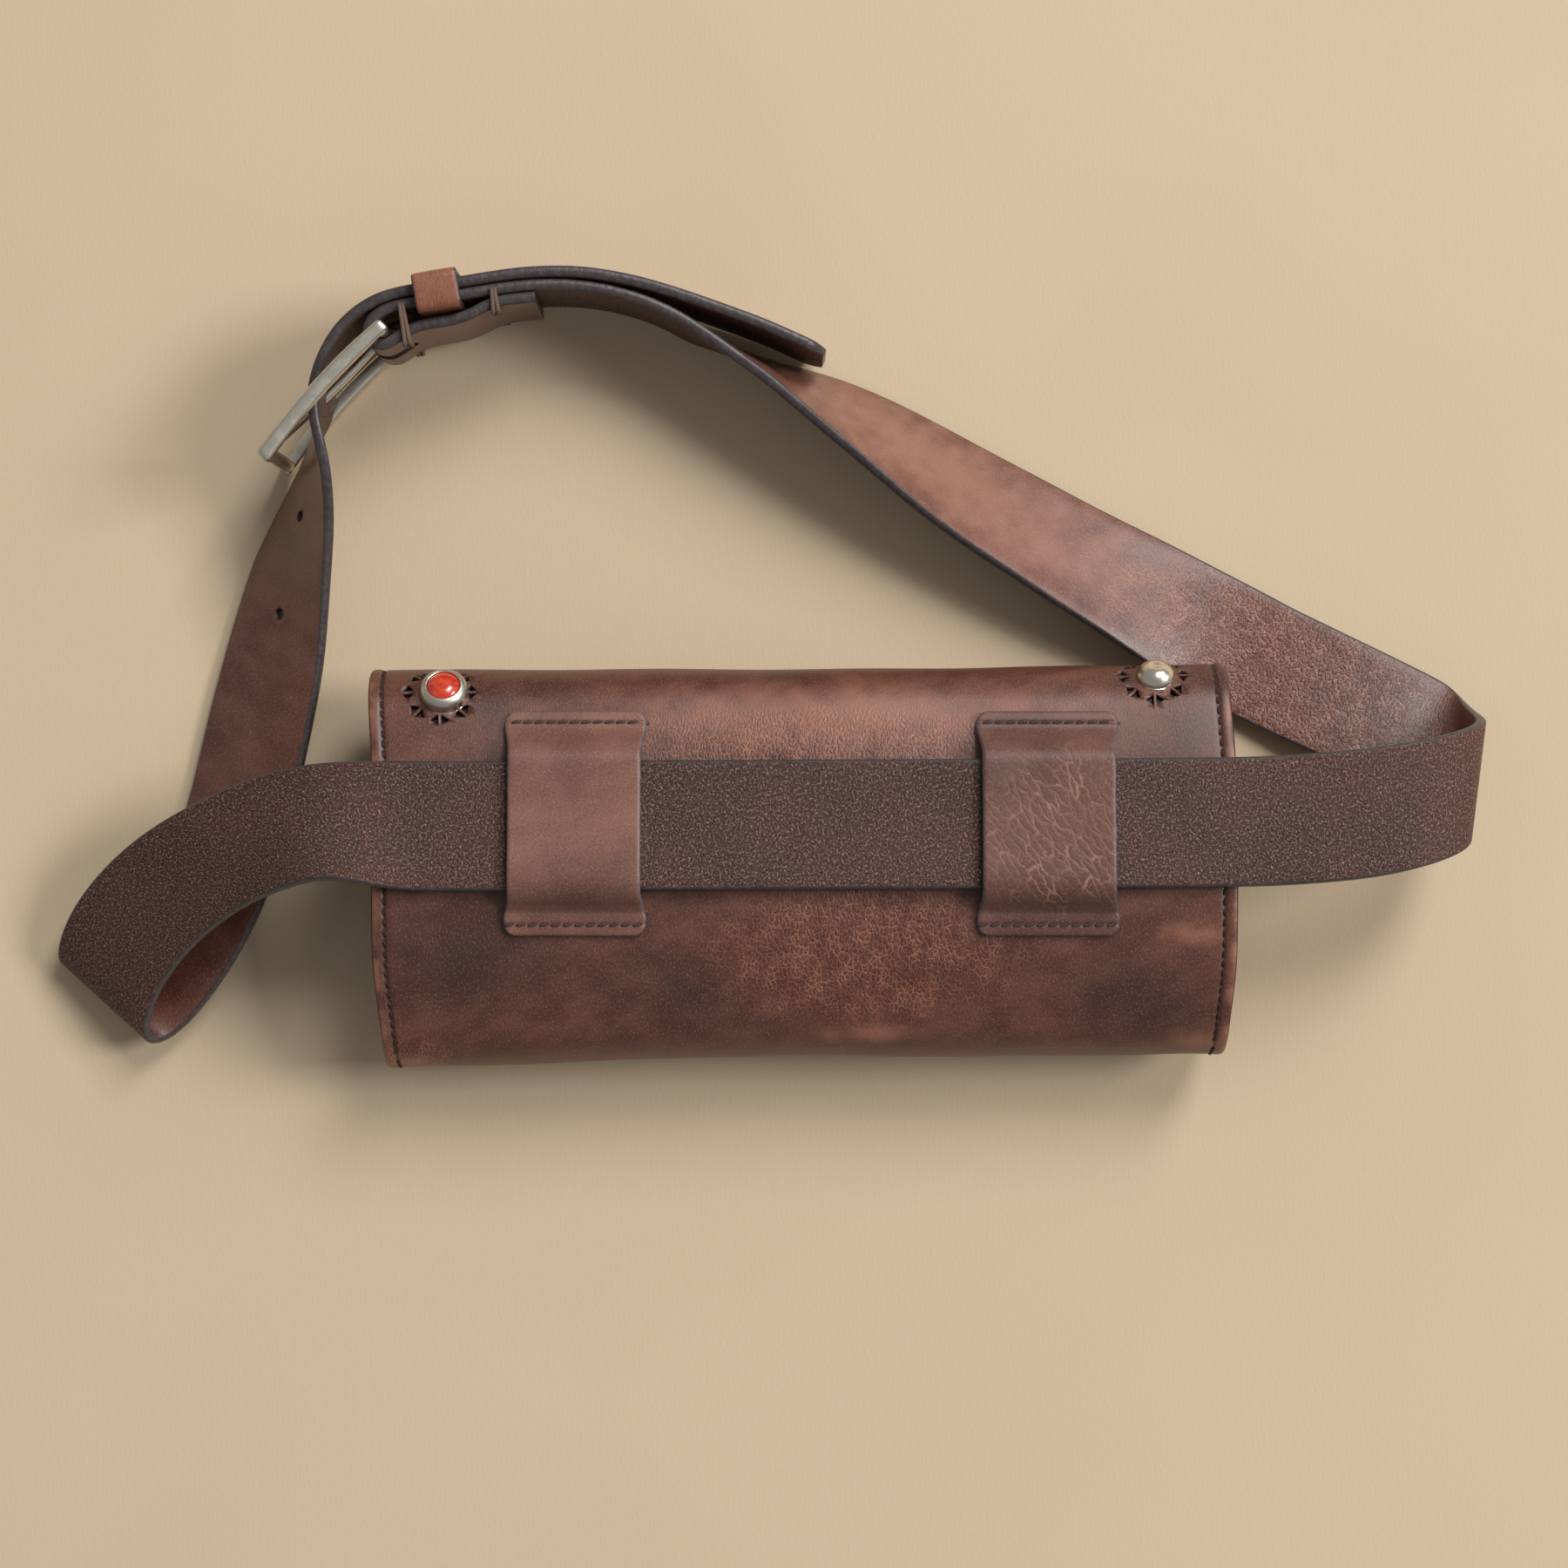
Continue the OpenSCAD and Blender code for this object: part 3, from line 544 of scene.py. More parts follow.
def make_piece(name: str, points: np.ndarray, faces: Sequence[Sequence[int]],
               places: np.ndarray | None, finishes: Sequence[Any],
               skins: Sequence[int] | None = None, sharp: float = 40.0) -> bpy.types.Object:
    """Makes one mesh object.

    Args:
        name: The piece's name.
        points: Corner points in millimetres, one row each.
        faces: Corner numbers of each face.
        places: Place of each point on its hide, in millimetres, or None.
        finishes: Finish of each material slot.
        skins: Material slot of each face.
        sharp: Angle in degrees above which an edge is shaded sharp.

    Returns:
        The object.
    """
    mesh = bpy.data.meshes.new(name)
    faces = outward(points, list(faces))
    mesh.from_pydata((np.asarray(points, float) * MM).tolist(), [], [list(f) for f in faces])
    if skins is not None:
        mesh.polygons.foreach_set("material_index", list(skins))
    if places is None:
        places = np.asarray(points, float)[:, [0, 1]] + np.asarray(points, float)[:, [2, 2]]
    layer = mesh.uv_layers.new(name=UV_NAME)
    corners = np.zeros(len(mesh.loops), np.int32)
    mesh.loops.foreach_get("vertex_index", corners)
    layer.data.foreach_set("uv", np.asarray(places, np.float32)[corners].ravel())
    for finish in finishes:
        mesh.materials.append(material(finish))
    mesh.polygons.foreach_set("use_smooth", [True] * len(mesh.polygons))
    mesh.set_sharp_from_angle(angle=math.radians(sharp))
    mesh.validate()
    mesh.update()
    piece = bpy.data.objects.new(name, mesh)
    bpy.context.scene.collection.objects.link(piece)
    return piece


@cache
def material(finish: Any) -> bpy.types.Material:
    """Returns the finish's material, made on first use."""
    return finish.make()


def fasten(piece: bpy.types.Object, body: Body | None, slot: str, *nodes: str) -> None:
    """Lets a piece stand for nodes of the frame.

    Args:
        piece: The piece.
        body: The body that it rides on, or None to leave it unattached.
        slot: Not used.
        *nodes: The nodes that it replaces.
    """
    if body:
        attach(piece, body.value)
    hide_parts(*nodes)


def loft(rings: np.ndarray, closed: bool, capped: bool = True) -> list[list[int]]:
    """Faces that join rings of points.

    Args:
        rings: Array of rings by points by 3, only its shape is used.
        closed: Whether the last ring joins the first.
        capped: Whether the first and last rings are filled.

    Returns:
        The faces, outward when each ring turns right-handed along the sweep.
    """
    count, around = rings.shape[:2]
    faces = []
    for i in range(count if closed else count - 1):
        a, b = i * around, (i + 1) % count * around
        faces += [[a + k, a + (k + 1) % around, b + (k + 1) % around, b + k]
                  for k in range(around)]
    if capped and not closed:
        last = (count - 1) * around
        faces += [list(range(around))[::-1], [last + k for k in range(around)]]
    return faces


def sweep(path: Sequence[Sequence[float]], radius: float | Sequence[float], sides: int = 10,
          closed: bool = False, flat: float = 1.0) -> tuple[np.ndarray, list[list[int]]]:
    """A tube along a path.

    Args:
        path: Points of the centre line, in millimetres.
        radius: Radius, or one for each point.
        sides: Number of sides.
        closed: Whether the path closes on itself.
        flat: Height of the section as a share of its width.

    Returns:
        Points and faces.
    """
    line = np.asarray(path, float)
    n = len(line)
    radii = np.full(n, radius) if np.isscalar(radius) else np.asarray(radius, float)
    ahead = np.roll(line, -1, 0) - np.roll(line, 1, 0)
    if not closed:
        ahead[0], ahead[-1] = line[1] - line[0], line[-1] - line[-2]
    ahead /= np.linalg.norm(ahead, axis=1)[:, None]
    up = np.array([0.0, 0.0, 1.0]) if abs(ahead[0][2]) < 0.9 else np.array([1.0, 0.0, 0.0])
    rings = []
    for i in range(n):
        side = np.cross(ahead[i], up)
        side /= np.linalg.norm(side)
        up = np.cross(side, ahead[i])
        turn = np.linspace(0, 2 * np.pi, sides, endpoint=False)
        rings.append(line[i] + radii[i] * (np.outer(np.cos(turn), side)
                                           + flat * np.outer(np.sin(turn), up)))
    rings = np.array(rings)
    return rings.reshape(-1, 3), loft(rings, closed)


def smooth(points: Sequence[Sequence[float]], per_span: int, closed: bool = False) -> np.ndarray:
    """A Catmull-Rom curve through points.

    Args:
        points: The points, of any dimension.
        per_span: Steps between two points.
        closed: Whether the curve closes on itself.

    Returns:
        The finer points.
    """
    p = np.asarray(points, float)
    n = len(p)
    out = []
    for i in range(n if closed else n - 1):
        a, b, c, d = (p[(i + k) % n] if closed else p[min(max(i + k, 0), n - 1)]
                      for k in (-1, 0, 1, 2))
        for t in np.arange(per_span) / per_span:
            out.append(0.5 * (2 * b + (c - a) * t + (2 * a - 5 * b + 4 * c - d) * t ** 2
                              + (3 * b - a - 3 * c + d) * t ** 3))
    if not closed:
        out.append(p[-1])
    return np.array(out)


def lathe(profile: Sequence[tuple[float, float]], sides: int = 64,
          per_span: int = 3) -> tuple[np.ndarray, list[list[int]]]:
    """A turned shape round Z.

    Args:
        profile: Radius and height of its outline, from the axis outwards and round.
        sides: Number of sides.
        per_span: Steps between two outline points.

    Returns:
        Points and faces.
    """
    line = smooth(profile, per_span)
    turn = np.linspace(0, 2 * np.pi, sides, endpoint=False)
    rings = np.array([[(max(r, 0.001) * math.cos(t), max(r, 0.001) * math.sin(t), z)
                       for t in turn] for r, z in line])
    return rings.reshape(-1, 3), loft(rings, False)


def sheet(outer: np.ndarray, inner: np.ndarray, rows: int, columns: int,
          rim_columns: int = 0) -> tuple[np.ndarray, list[list[int]], list[int]]:
    """Closes two grids of points into one sheet.

    Args:
        outer: Points of the outer grid, row by row.
        inner: Points of the inner grid.
        rows: Number of rows.
        columns: Number of columns.
        rim_columns: Columns of outer faces at each side that have the edge's finish.

    Returns:
        Points, faces and the skin of each face.
    """
    def quad(i: int, j: int) -> list[int]:
        a = i * columns + j
        return [a, a + columns, a + columns + 1, a + 1]

    n = rows * columns
    faces, skins = [], []
    for i in range(rows - 1):
        for j in range(columns - 1):
            faces += [quad(i, j), [n + k for k in reversed(quad(i, j))]]
            painted = min(j, columns - 2 - j) < rim_columns
            skins += [Skin.EDGE.value if painted else Skin.OUTER.value, Skin.INNER.value]
    rim = ([j for j in range(columns)]
           + [i * columns + columns - 1 for i in range(1, rows)]
           + [(rows - 1) * columns + j for j in range(columns - 2, -1, -1)]
           + [i * columns for i in range(rows - 2, 0, -1)])
    for a, b in zip(rim, rim[1:] + rim[:1]):
        faces.append([a, b, n + b, n + a])
        skins.append(Skin.EDGE.value)
    return np.concatenate([outer, inner]), faces, skins


def outward(points: np.ndarray, faces: list[list[int]]) -> list[list[int]]:
    """Turns a closed shape's faces outward.

    Args:
        points: Its points.
        faces: Its faces, all turned the same way.

    Returns:
        The faces, turned the other way if the shape's volume was negative.
    """
    p = np.asarray(points, float)
    p = p - p.mean(0)
    fans = np.array([(f[0], f[k], f[k + 1]) for f in faces for k in range(1, len(f) - 1)])
    volume = np.einsum("ij,ij->i", p[fans[:, 0]], np.cross(p[fans[:, 1]], p[fans[:, 2]])).sum()
    return faces if volume > 0 else [list(f)[::-1] for f in faces]


def joined(parts: Iterable[tuple[np.ndarray, list[list[int]]]]) -> tuple[np.ndarray, list]:
    """Puts several closed shapes into one, each with its faces outward.

    Args:
        parts: Points and faces of each.

    Returns:
        Points and faces of all.
    """
    points, faces, start = [], [], 0
    for p, f in parts:
        points.append(np.asarray(p))
        faces += [[start + k for k in face] for face in outward(p, f)]
        start += len(p)
    return np.concatenate(points), faces


def runs(line: np.ndarray) -> np.ndarray:
    """Returns the distance of each point of a line from its start."""
    return np.concatenate([[0], np.cumsum(np.linalg.norm(np.diff(line, axis=0), axis=1))])


def ease(x: float | np.ndarray, low: float, high: float) -> float | np.ndarray:
    """Returns 0 below low, 1 above high and a smooth step between."""
    t = np.clip((np.asarray(x, float) - low) / (high - low), 0, 1)
    return t * t * (3 - 2 * t)


# ---------------------------------------------------------------- the case's section


@dataclass
class Section:
    """The closed case's cross-section: arcs from the flap's end, over the crown, round the fold
    and under the base to the tip of the lap inside the flap."""

    end_x: float = 126.5
    half_width: float = 59.4
    height: float = 48.0
    shoulder_r: float = 17.0
    rest_y: float = 15.0
    lap_depth: float = 6.2
    lap_end_x: float = 111.0
    flap_end: float = 88.0
    lap_tip: float = 4.0
    wrap_t: float = 2.4
    lining_t: float = 0.8

    def __post_init__(self) -> None:
        """Works out the arcs and where each begins along the section."""
        sy, sz, sr = self.half_width - self.shoulder_r, self.height / 2, self.shoulder_r
        self.shoulder = (sy, sz)
        self.crown_r = (sy * sy + sz * sz - sr * sr) / (2 * (sz - sr))
        self.crown_a = math.degrees(math.asin(sy / (self.crown_r - sr)))
        run = sy - self.rest_y
        self.base_r = (run * run + sz * sz - sr * sr) / (2 * (sz - sr))
        self.base_a = 180 - math.degrees(math.asin(run / (self.base_r - sr)))
        lap_run = self.half_width - self.lap_depth - self.rest_y
        drop = self.base_r - sz
        lap_r = (self.base_r ** 2 - lap_run ** 2 - drop ** 2) / (2 * (self.base_r - lap_run))
        lap_y = self.half_width - self.lap_depth - lap_r
        lap_a = math.degrees(math.atan2(lap_y - self.rest_y, drop))
        crown, base = (0.0, self.height - self.crown_r), (self.rest_y, self.base_r)
        # Each arc: side, centre, radius, first and last angle of its outward normal.
        self.arcs = [
            (1, self.shoulder, sr, self.flap_end, self.crown_a),
            (1, crown, self.crown_r, self.crown_a, 0.0),
            (-1, crown, self.crown_r, 0.0, self.crown_a),
            (-1, self.shoulder, sr, self.crown_a, 90.0),
            (-1, self.shoulder, sr, 90.0, self.base_a),
            (-1, base, self.base_r, self.base_a, 180.0),
            None,
            (1, base, self.base_r, 180.0, 180 - lap_a),
            (1, (lap_y, sz), lap_r, 180 - lap_a, 90.0),
            (1, self.shoulder, sr - self.lap_depth, 90.0, self.lap_tip)]
        lengths = [2 * self.rest_y if a is None else a[2] * math.radians(abs(a[4] - a[3]))
                   for a in self.arcs]
        start = lengths[0] + lengths[1]
        self.marks = [start - sum(lengths[:i]) for i in range(len(lengths) + 1)]
        self.flap_v, self.lap_v = self.marks[0], self.marks[-1]
        self.fold_top_v, self.fold_middle_v, self.fold_low_v = self.marks[3:6]
        self.lap_start_v = self.marks[8]

    def at(self, v: float, depth: float = 0.0) -> tuple[np.ndarray, np.ndarray]:
        """A point of the section.

        Args:
            v: Place along it: 0 at the crown, positive towards the flap's end.
            depth: Depth under the outer surface.

        Returns:
            The point and the outward normal, each as Y and Z.
        """
        i = max(k for k in range(len(self.arcs)) if v <= self.marks[k] + 1e-9 or k == 0)
        arc, run = self.arcs[i], self.marks[i] - v
        if arc is None:
            return np.array([-self.rest_y + run, depth]), np.array([0.0, -1.0])
        side, centre, radius, first, last = arc
        angle = math.radians(first) + math.copysign(run / radius, last - first)
        out = np.array([side * math.sin(angle), math.cos(angle)])
        return np.array([side * centre[0], centre[1]]) + out * (radius - depth), out

    def crown_v(self, y: float) -> float:
        """Returns the place along the section above Y on the crown."""
        return self.crown_r * math.asin(y / self.crown_r)

    def tilt_v(self, tilt: float) -> float:
        """Returns the place on the flap's shoulder whose normal leans by tilt degrees."""
        return self.marks[1] + self.shoulder_r * math.radians(tilt - self.crown_a)

    def relief(self, x: float, v: float) -> float:
        """Returns how far the soft leather stands out at a place, in millimetres."""
        inset = self.end_x - abs(x)
        waves = (0.22 * math.sin(x / 17 + 1.1) * math.sin(v / 23 + 0.4)
                 + 0.16 * math.sin(x / 9.5 - v / 31 + 2.0) + 0.12 * math.sin(v / 12 + x / 40))
        band = 0.16 * float(ease(inset, 0.0, 1.6) * (1 - ease(inset, 2.2, 3.7)))
        groove = -0.34 * math.exp(-((inset - 3.9) / 0.6) ** 2)
        return waves * float(ease(inset, 1, 16)) + band + groove

    def settle(self, x: float, y: float, z: float) -> Point:
        """Moves a point of the case as the soft ends of the roll have slumped.

        Args:
            x: Along the case.
            y: Across it.
            z: Up.

        Returns:
            The moved point.
        """
        flap, fold = float(ease(y, 22, 60)), float(ease(-y, 22, 60))
        right, left = max(0.0, x / self.end_x) ** 2, max(0.0, -x / self.end_x) ** 2
        dx = flap * (-2.2 * left - 1.4 * right) + fold * (2.6 * left - 1.8 * right)
        dy = flap * (1.6 * right - 0.4 * left)
        dy += fold * (3.3 * float(ease(x, -118, -8)) + 0.6 * right)
        return x + dx, y + dy, z

    def place(self, x: float, v: float, depth: float, soft: bool = True) -> Point:
        """Returns the point at x, v and a depth, with the leather's relief if soft."""
        (y, z), (ny, nz) = self.at(v, depth)
        lift = self.relief(x, v) if soft else 0.0
        if abs(v - self.lap_start_v) < 80 and z < 3:
            lift = min(lift, 0.0)
        return self.settle(x, float(y + ny * lift), float(z + nz * lift))


@dataclass(frozen=True)
class Strip:
    """A run of the roll's leather that bends over one hinge of the frame."""

    name: str
    bodies: tuple[Body, Body]
    v_from: float
    v_to: float
    hinge_v: float
    nodes: tuple[str, ...]


@dataclass
class Roll:
    """The case itself: outer leather, lining, end stitching and tooled rays round the studs."""

    section: Section
    studs: tuple[tuple[float, float], ...] = ((-106.0, 35.0), (103.8, 53.0))  # X and tilt
    row_step: float = 1.5
    pitch: float = 3.1
    end_inset: float = 3.9
    bend: float = 8.6

    def strips(self) -> list[Strip]:
        """Returns the runs of the roll, from the flap's end to the lap's tip."""
        s = self.section
        upper = (s.fold_top_v + s.fold_middle_v) / 2
        lower = (s.fold_middle_v + s.fold_low_v) / 2
        return [
            Strip("back", (Body.UPPER, Body.BACK), s.flap_v, upper, s.fold_top_v, ("back",)),
            Strip("fold", (Body.LOWER, Body.UPPER), upper, lower, s.fold_middle_v,
                  ("upper_fold", "lower_fold")),
            Strip("front", (Body.FRONT, Body.LOWER), lower, s.lap_v, s.fold_low_v,
                  ("front", "lap_side", "lap_tip"))]

    def x_range(self, v: float, inset: float) -> tuple[float, float]:
        """Returns the left and right ends of the leather at a place along the section."""
        s = self.section
        cut = float(ease(s.lap_start_v - v, -3, 3))
        return -s.end_x + inset, s.end_x - inset - cut * (s.end_x - s.lap_end_x)

    def insets(self) -> list[float]:
        """Returns the distances of the mesh columns from an end of the roll."""
        return [0, 0.12, 0.35, 0.8, 1.6, 2.4, 3.0, 3.4, 3.65, 3.9, 4.15, 4.4, 4.8, 5.6, 7, 9, 12]

    def panel(self, name: str, strip: Strip, top: float, thick: float, inset: float,
              finishes: Sequence[Any], soft: bool) -> bpy.types.Object:
        """A curved sheet of the roll, closed all round.

        Args:
            name: The piece's name.
            strip: The run that it covers.
            top: Depth of its outer face.
            thick: Its thickness.
            inset: How far its ends stand in from the roll's ends.
            finishes: Outer, inner, edge and pit finishes.
            soft: Whether it has the leather's relief and rounded edges.

        Returns:
            The piece.
        """
        rows = max(8, int(abs(strip.v_from - strip.v_to) / self.row_step))
        vs = np.linspace(strip.v_from, strip.v_to, rows + 1)
        if soft:
            ends = [v for v in (self.section.flap_v, self.section.lap_v)
                    if min(abs(v - vs[0]), abs(v - vs[-1])) < 0.01]
            extra = [e + k * (1 if e < 0 else -1) for e in ends for k in (0.12, 0.35, 0.8)]
            vs = np.array(sorted(set(vs) | set(extra), reverse=True))
        near = self.insets() if soft else [0, 0.3, 3, 8]
        middle = 84 if soft else 30
        outer, inner, places = [], [], []
        for v in vs:
            left, right = self.x_range(v, inset)
            span = right - left - 2 * near[-1]
            xs = ([left + d for d in near] + [left + near[-1] + span * k / middle
                                              for k in range(1, middle)]
                  + [right - d for d in reversed(near)])
            for x in xs:
                edge = min(x - left, right - x)
                for end in (self.section.flap_v, self.section.lap_v):
                    edge = min(edge, abs(v - end))
                round_off = 0.55 * (1 - min(1.0, edge / 0.8)) ** 2 if soft else 0.0
                outer.append(self.section.place(x, v, top + round_off, soft))
                inner.append(self.section.place(x, v, top + thick - round_off, False))
                places.append((x, v))
        columns = 2 * len(near) + middle - 1
        points, faces, skins = sheet(np.array(outer), np.array(inner), len(vs), columns,
                                          2 if soft else 0)
        return make_piece(name, points, faces, np.array(places * 2), finishes, skins, 50)

    def blend(self, piece: bpy.types.Object, strip: Strip) -> None:
        """Bakes the piece's placement into its mesh; it does not bend the piece over its strip's
        hinge.
        """
        s = self.section
        for v in (strip.hinge_v - self.bend, strip.hinge_v + self.bend):
            (y, z), _ = s.at(v)
        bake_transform(piece)

    def stitches(self, name: str, strip: Strip) -> bpy.types.Object:
        """The thread at both ends of a strip.

        Args:
            name: The piece's name.
            strip: The strip that it sews.

        Returns:
            The piece.
        """
        s = self.section
        parts, places = [], []
        first = math.ceil((strip.v_to + 1.2) / self.pitch)
        last = math.floor((strip.v_from - 1.2) / self.pitch)
        for k in range(first, last + 1):
            for side in (-1, 1):
                v = k * self.pitch
                left, right = self.x_range(v, 0.0)
                x = left + self.end_inset if side < 0 else right - self.end_inset
                if right < s.end_x - 1 and side > 0:
                    x = right - 1.9
                lean = 0.3 * side + 0.16 * math.sin(2.1 * k)
                path = [s.place(x + lean * t, v + 1.25 * t, 0.42 - 0.62 * (1 - t * t), True)
                        for t in (-1, -0.8, -0.45, 0, 0.45, 0.8, 1)]
                points, faces = sweep(path, [0.3, 0.42, 0.48, 0.5, 0.48, 0.42, 0.3], 8)
                parts.append((points, faces))
                places += [(x + i % 8, v + i // 8) for i in range(len(points))]
        points, faces = joined(parts)
        return make_piece(name, points, faces, np.array(places, float), [THREAD])

    def rays(self) -> bpy.types.Object:
        """The punches that cut the rays round both studs: eight pairs of slanted triangles."""
        s = self.section
        inner_r, outer_r, wide, bridge = 7.4, 10.8, 2.8, 0.42
        parts = []
        for stud, tilt in self.studs:
            centre = s.tilt_v(tilt)
            for k in range(8):
                turn = math.radians(45 * k - 90)
                for side in (-1, 1):
                    corners = [(inner_r, bridge), (inner_r + 1.6, wide), (outer_r, bridge)]
                    flat = [(stud + r * math.cos(turn) - side * t * math.sin(turn),
                             centre + r * math.sin(turn) + side * t * math.cos(turn))
                            for r, t in corners]
                    rings = np.array([[s.place(x, v, depth, False) for x, v in flat]
                                      for depth in (1.6, -2.0)])
                    parts.append((rings.reshape(-1, 3), loft(rings, False)))
        points, faces = joined(parts)
        return make_piece("ray_punches", points, faces, None, [PUNCHED] * 4,
                          [Skin.PIT.value] * len(faces))

    def build(self) -> list[bpy.types.Object]:
        """Makes the roll and hides the frame's nodes that its pieces replace; the pieces ride on no
        body.

        Returns:
            The pieces.
        """
        s, made = self.section, []
        for strip in self.strips():
            wrap = self.panel(f"leather_{strip.name}", strip, 0.0, s.wrap_t, 0.0,
                              [CASE_LEATHER, WRAP_FLESH, CASE_EDGE, PUNCHED], True)
            if strip.name == "back":
                cut_with(wrap, self.rays())
            lining = self.panel(f"suede_lining_{strip.name}", strip, s.wrap_t + 0.02,
                                s.lining_t, 1.0, [LINING, LINING, LINING], False)
            thread = self.stitches(f"end_thread_{strip.name}", strip)
            for piece, node, slot in ((wrap, "wrap", "case_leather"),
                                      (lining, "lining", "lining_suede"),
                                      (thread, "end_stitching", "waxed_thread")):
                self.blend(piece, strip)
                fasten(piece, None, slot, *(f"{node}_{n}" for n in strip.nodes))
                made.append(piece)
        return made


def cut_with(piece: bpy.types.Object, punch: bpy.types.Object) -> None:
    """Cuts a piece with a punch and removes the punch.

    Args:
        piece: The piece to cut.
        punch: Closed shapes whose volume is taken away.
    """
    cut = piece.modifiers.new("punched", "BOOLEAN")
    cut.operation, cut.solver, cut.object = "DIFFERENCE", "EXACT", punch
    cut.material_mode = "INDEX"
    dg = bpy.context.evaluated_depsgraph_get()
    mesh = bpy.data.meshes.new_from_object(piece.evaluated_get(dg))
    mesh.name = piece.name
    piece.modifiers.clear()
    piece.data = mesh
    bpy.data.objects.remove(punch)


# ---------------------------------------------------------------- pockets


@dataclass
class Pocket:
    """A leather pocket inside the roll, divided into slots by rows of stitches."""

    name: str
    section: Section
    body: Body
    y_range: tuple[float, float]
    slots: int
    underside: bool
    x_range: tuple[float, float] = (-124.5, 22.0)
    gap: float = 0.16
    thick: float = 1.1
    fullness: float = 1.7
    pitch: float = 3.1

    def v(self, y: float) -> float:
        """Returns the place along the section under Y."""
        s = self.section
        if not self.underside:
            return s.crown_v(y)
        middle = (s.marks[6] + s.marks[7]) / 2
        run = abs(y) - s.rest_y
        if run <= 0:
            return middle - y
        return middle - math.copysign(s.rest_y + s.base_r * math.asin(run / s.base_r), y)

    def rise(self, x: float, y: float) -> float:
        """Returns how far a slot bulges off the lining."""
        margin = 2.5
        share = (y - self.y_range[0] - margin) / (self.y_range[1] - self.y_range[0] - 2 * margin)
        if not 0 < share < 1:
            return 0.0
        arch = math.sin(math.pi * (share * self.slots % 1)) ** 2
        return self.fullness * arch * float(ease(x, self.x_range[0] + 4, self.x_range[1]))

    def build(self) -> list[bpy.types.Object]:
        """Makes the pocket and its stitching.

        Returns:
            The two pieces.
        """
        s = self.section
        ys = np.linspace(*self.y_range, self.slots * 12 + 1)
        xs = np.linspace(*self.x_range, 60)
        top = s.wrap_t + s.lining_t + self.gap
        outer, inner, places = [], [], []
        for y in ys:
            for x in xs:
                lift = self.rise(x, y)
                for points, depth in ((outer, top + lift), (inner, top + lift + self.thick)):
                    points.append(s.place(x, self.v(y), depth, False))
                places.append((x, y))
        points, faces, skins = sheet(np.array(inner), np.array(outer), len(ys), len(xs))
        flip = -1 if self.underside else 1
        pocket = make_piece(f"{self.name}_leather", points, [f[::flip] for f in faces],
                            np.array(places * 2), [POCKET, WRAP_FLESH, CASE_EDGE], skins)
        parts = []
        for row in range(self.slots + 1):
            y = self.y_range[0] + 2.5 + (self.y_range[1] - self.y_range[0] - 5) * row / self.slots
            for x in np.arange(self.x_range[0] + 4, self.x_range[1] - 2, self.pitch):
                path = [s.place(x + 1.1 * t, self.v(y), top + self.thick + 0.32 * (1 - t * t),
                                False) for t in (-1, -0.6, 0, 0.6, 1)]
                parts.append(sweep(path, [0.2, 0.33, 0.38, 0.33, 0.2], 6))
        thread = make_piece(f"{self.name}_thread", *joined(parts), None, [THREAD])
        fasten(pocket, self.body, "loop_leather", self.name)
        fasten(thread, self.body, "waxed_thread", f"{self.name}_stitching")
        return [pocket, thread]


# ---------------------------------------------------------------- belt loops


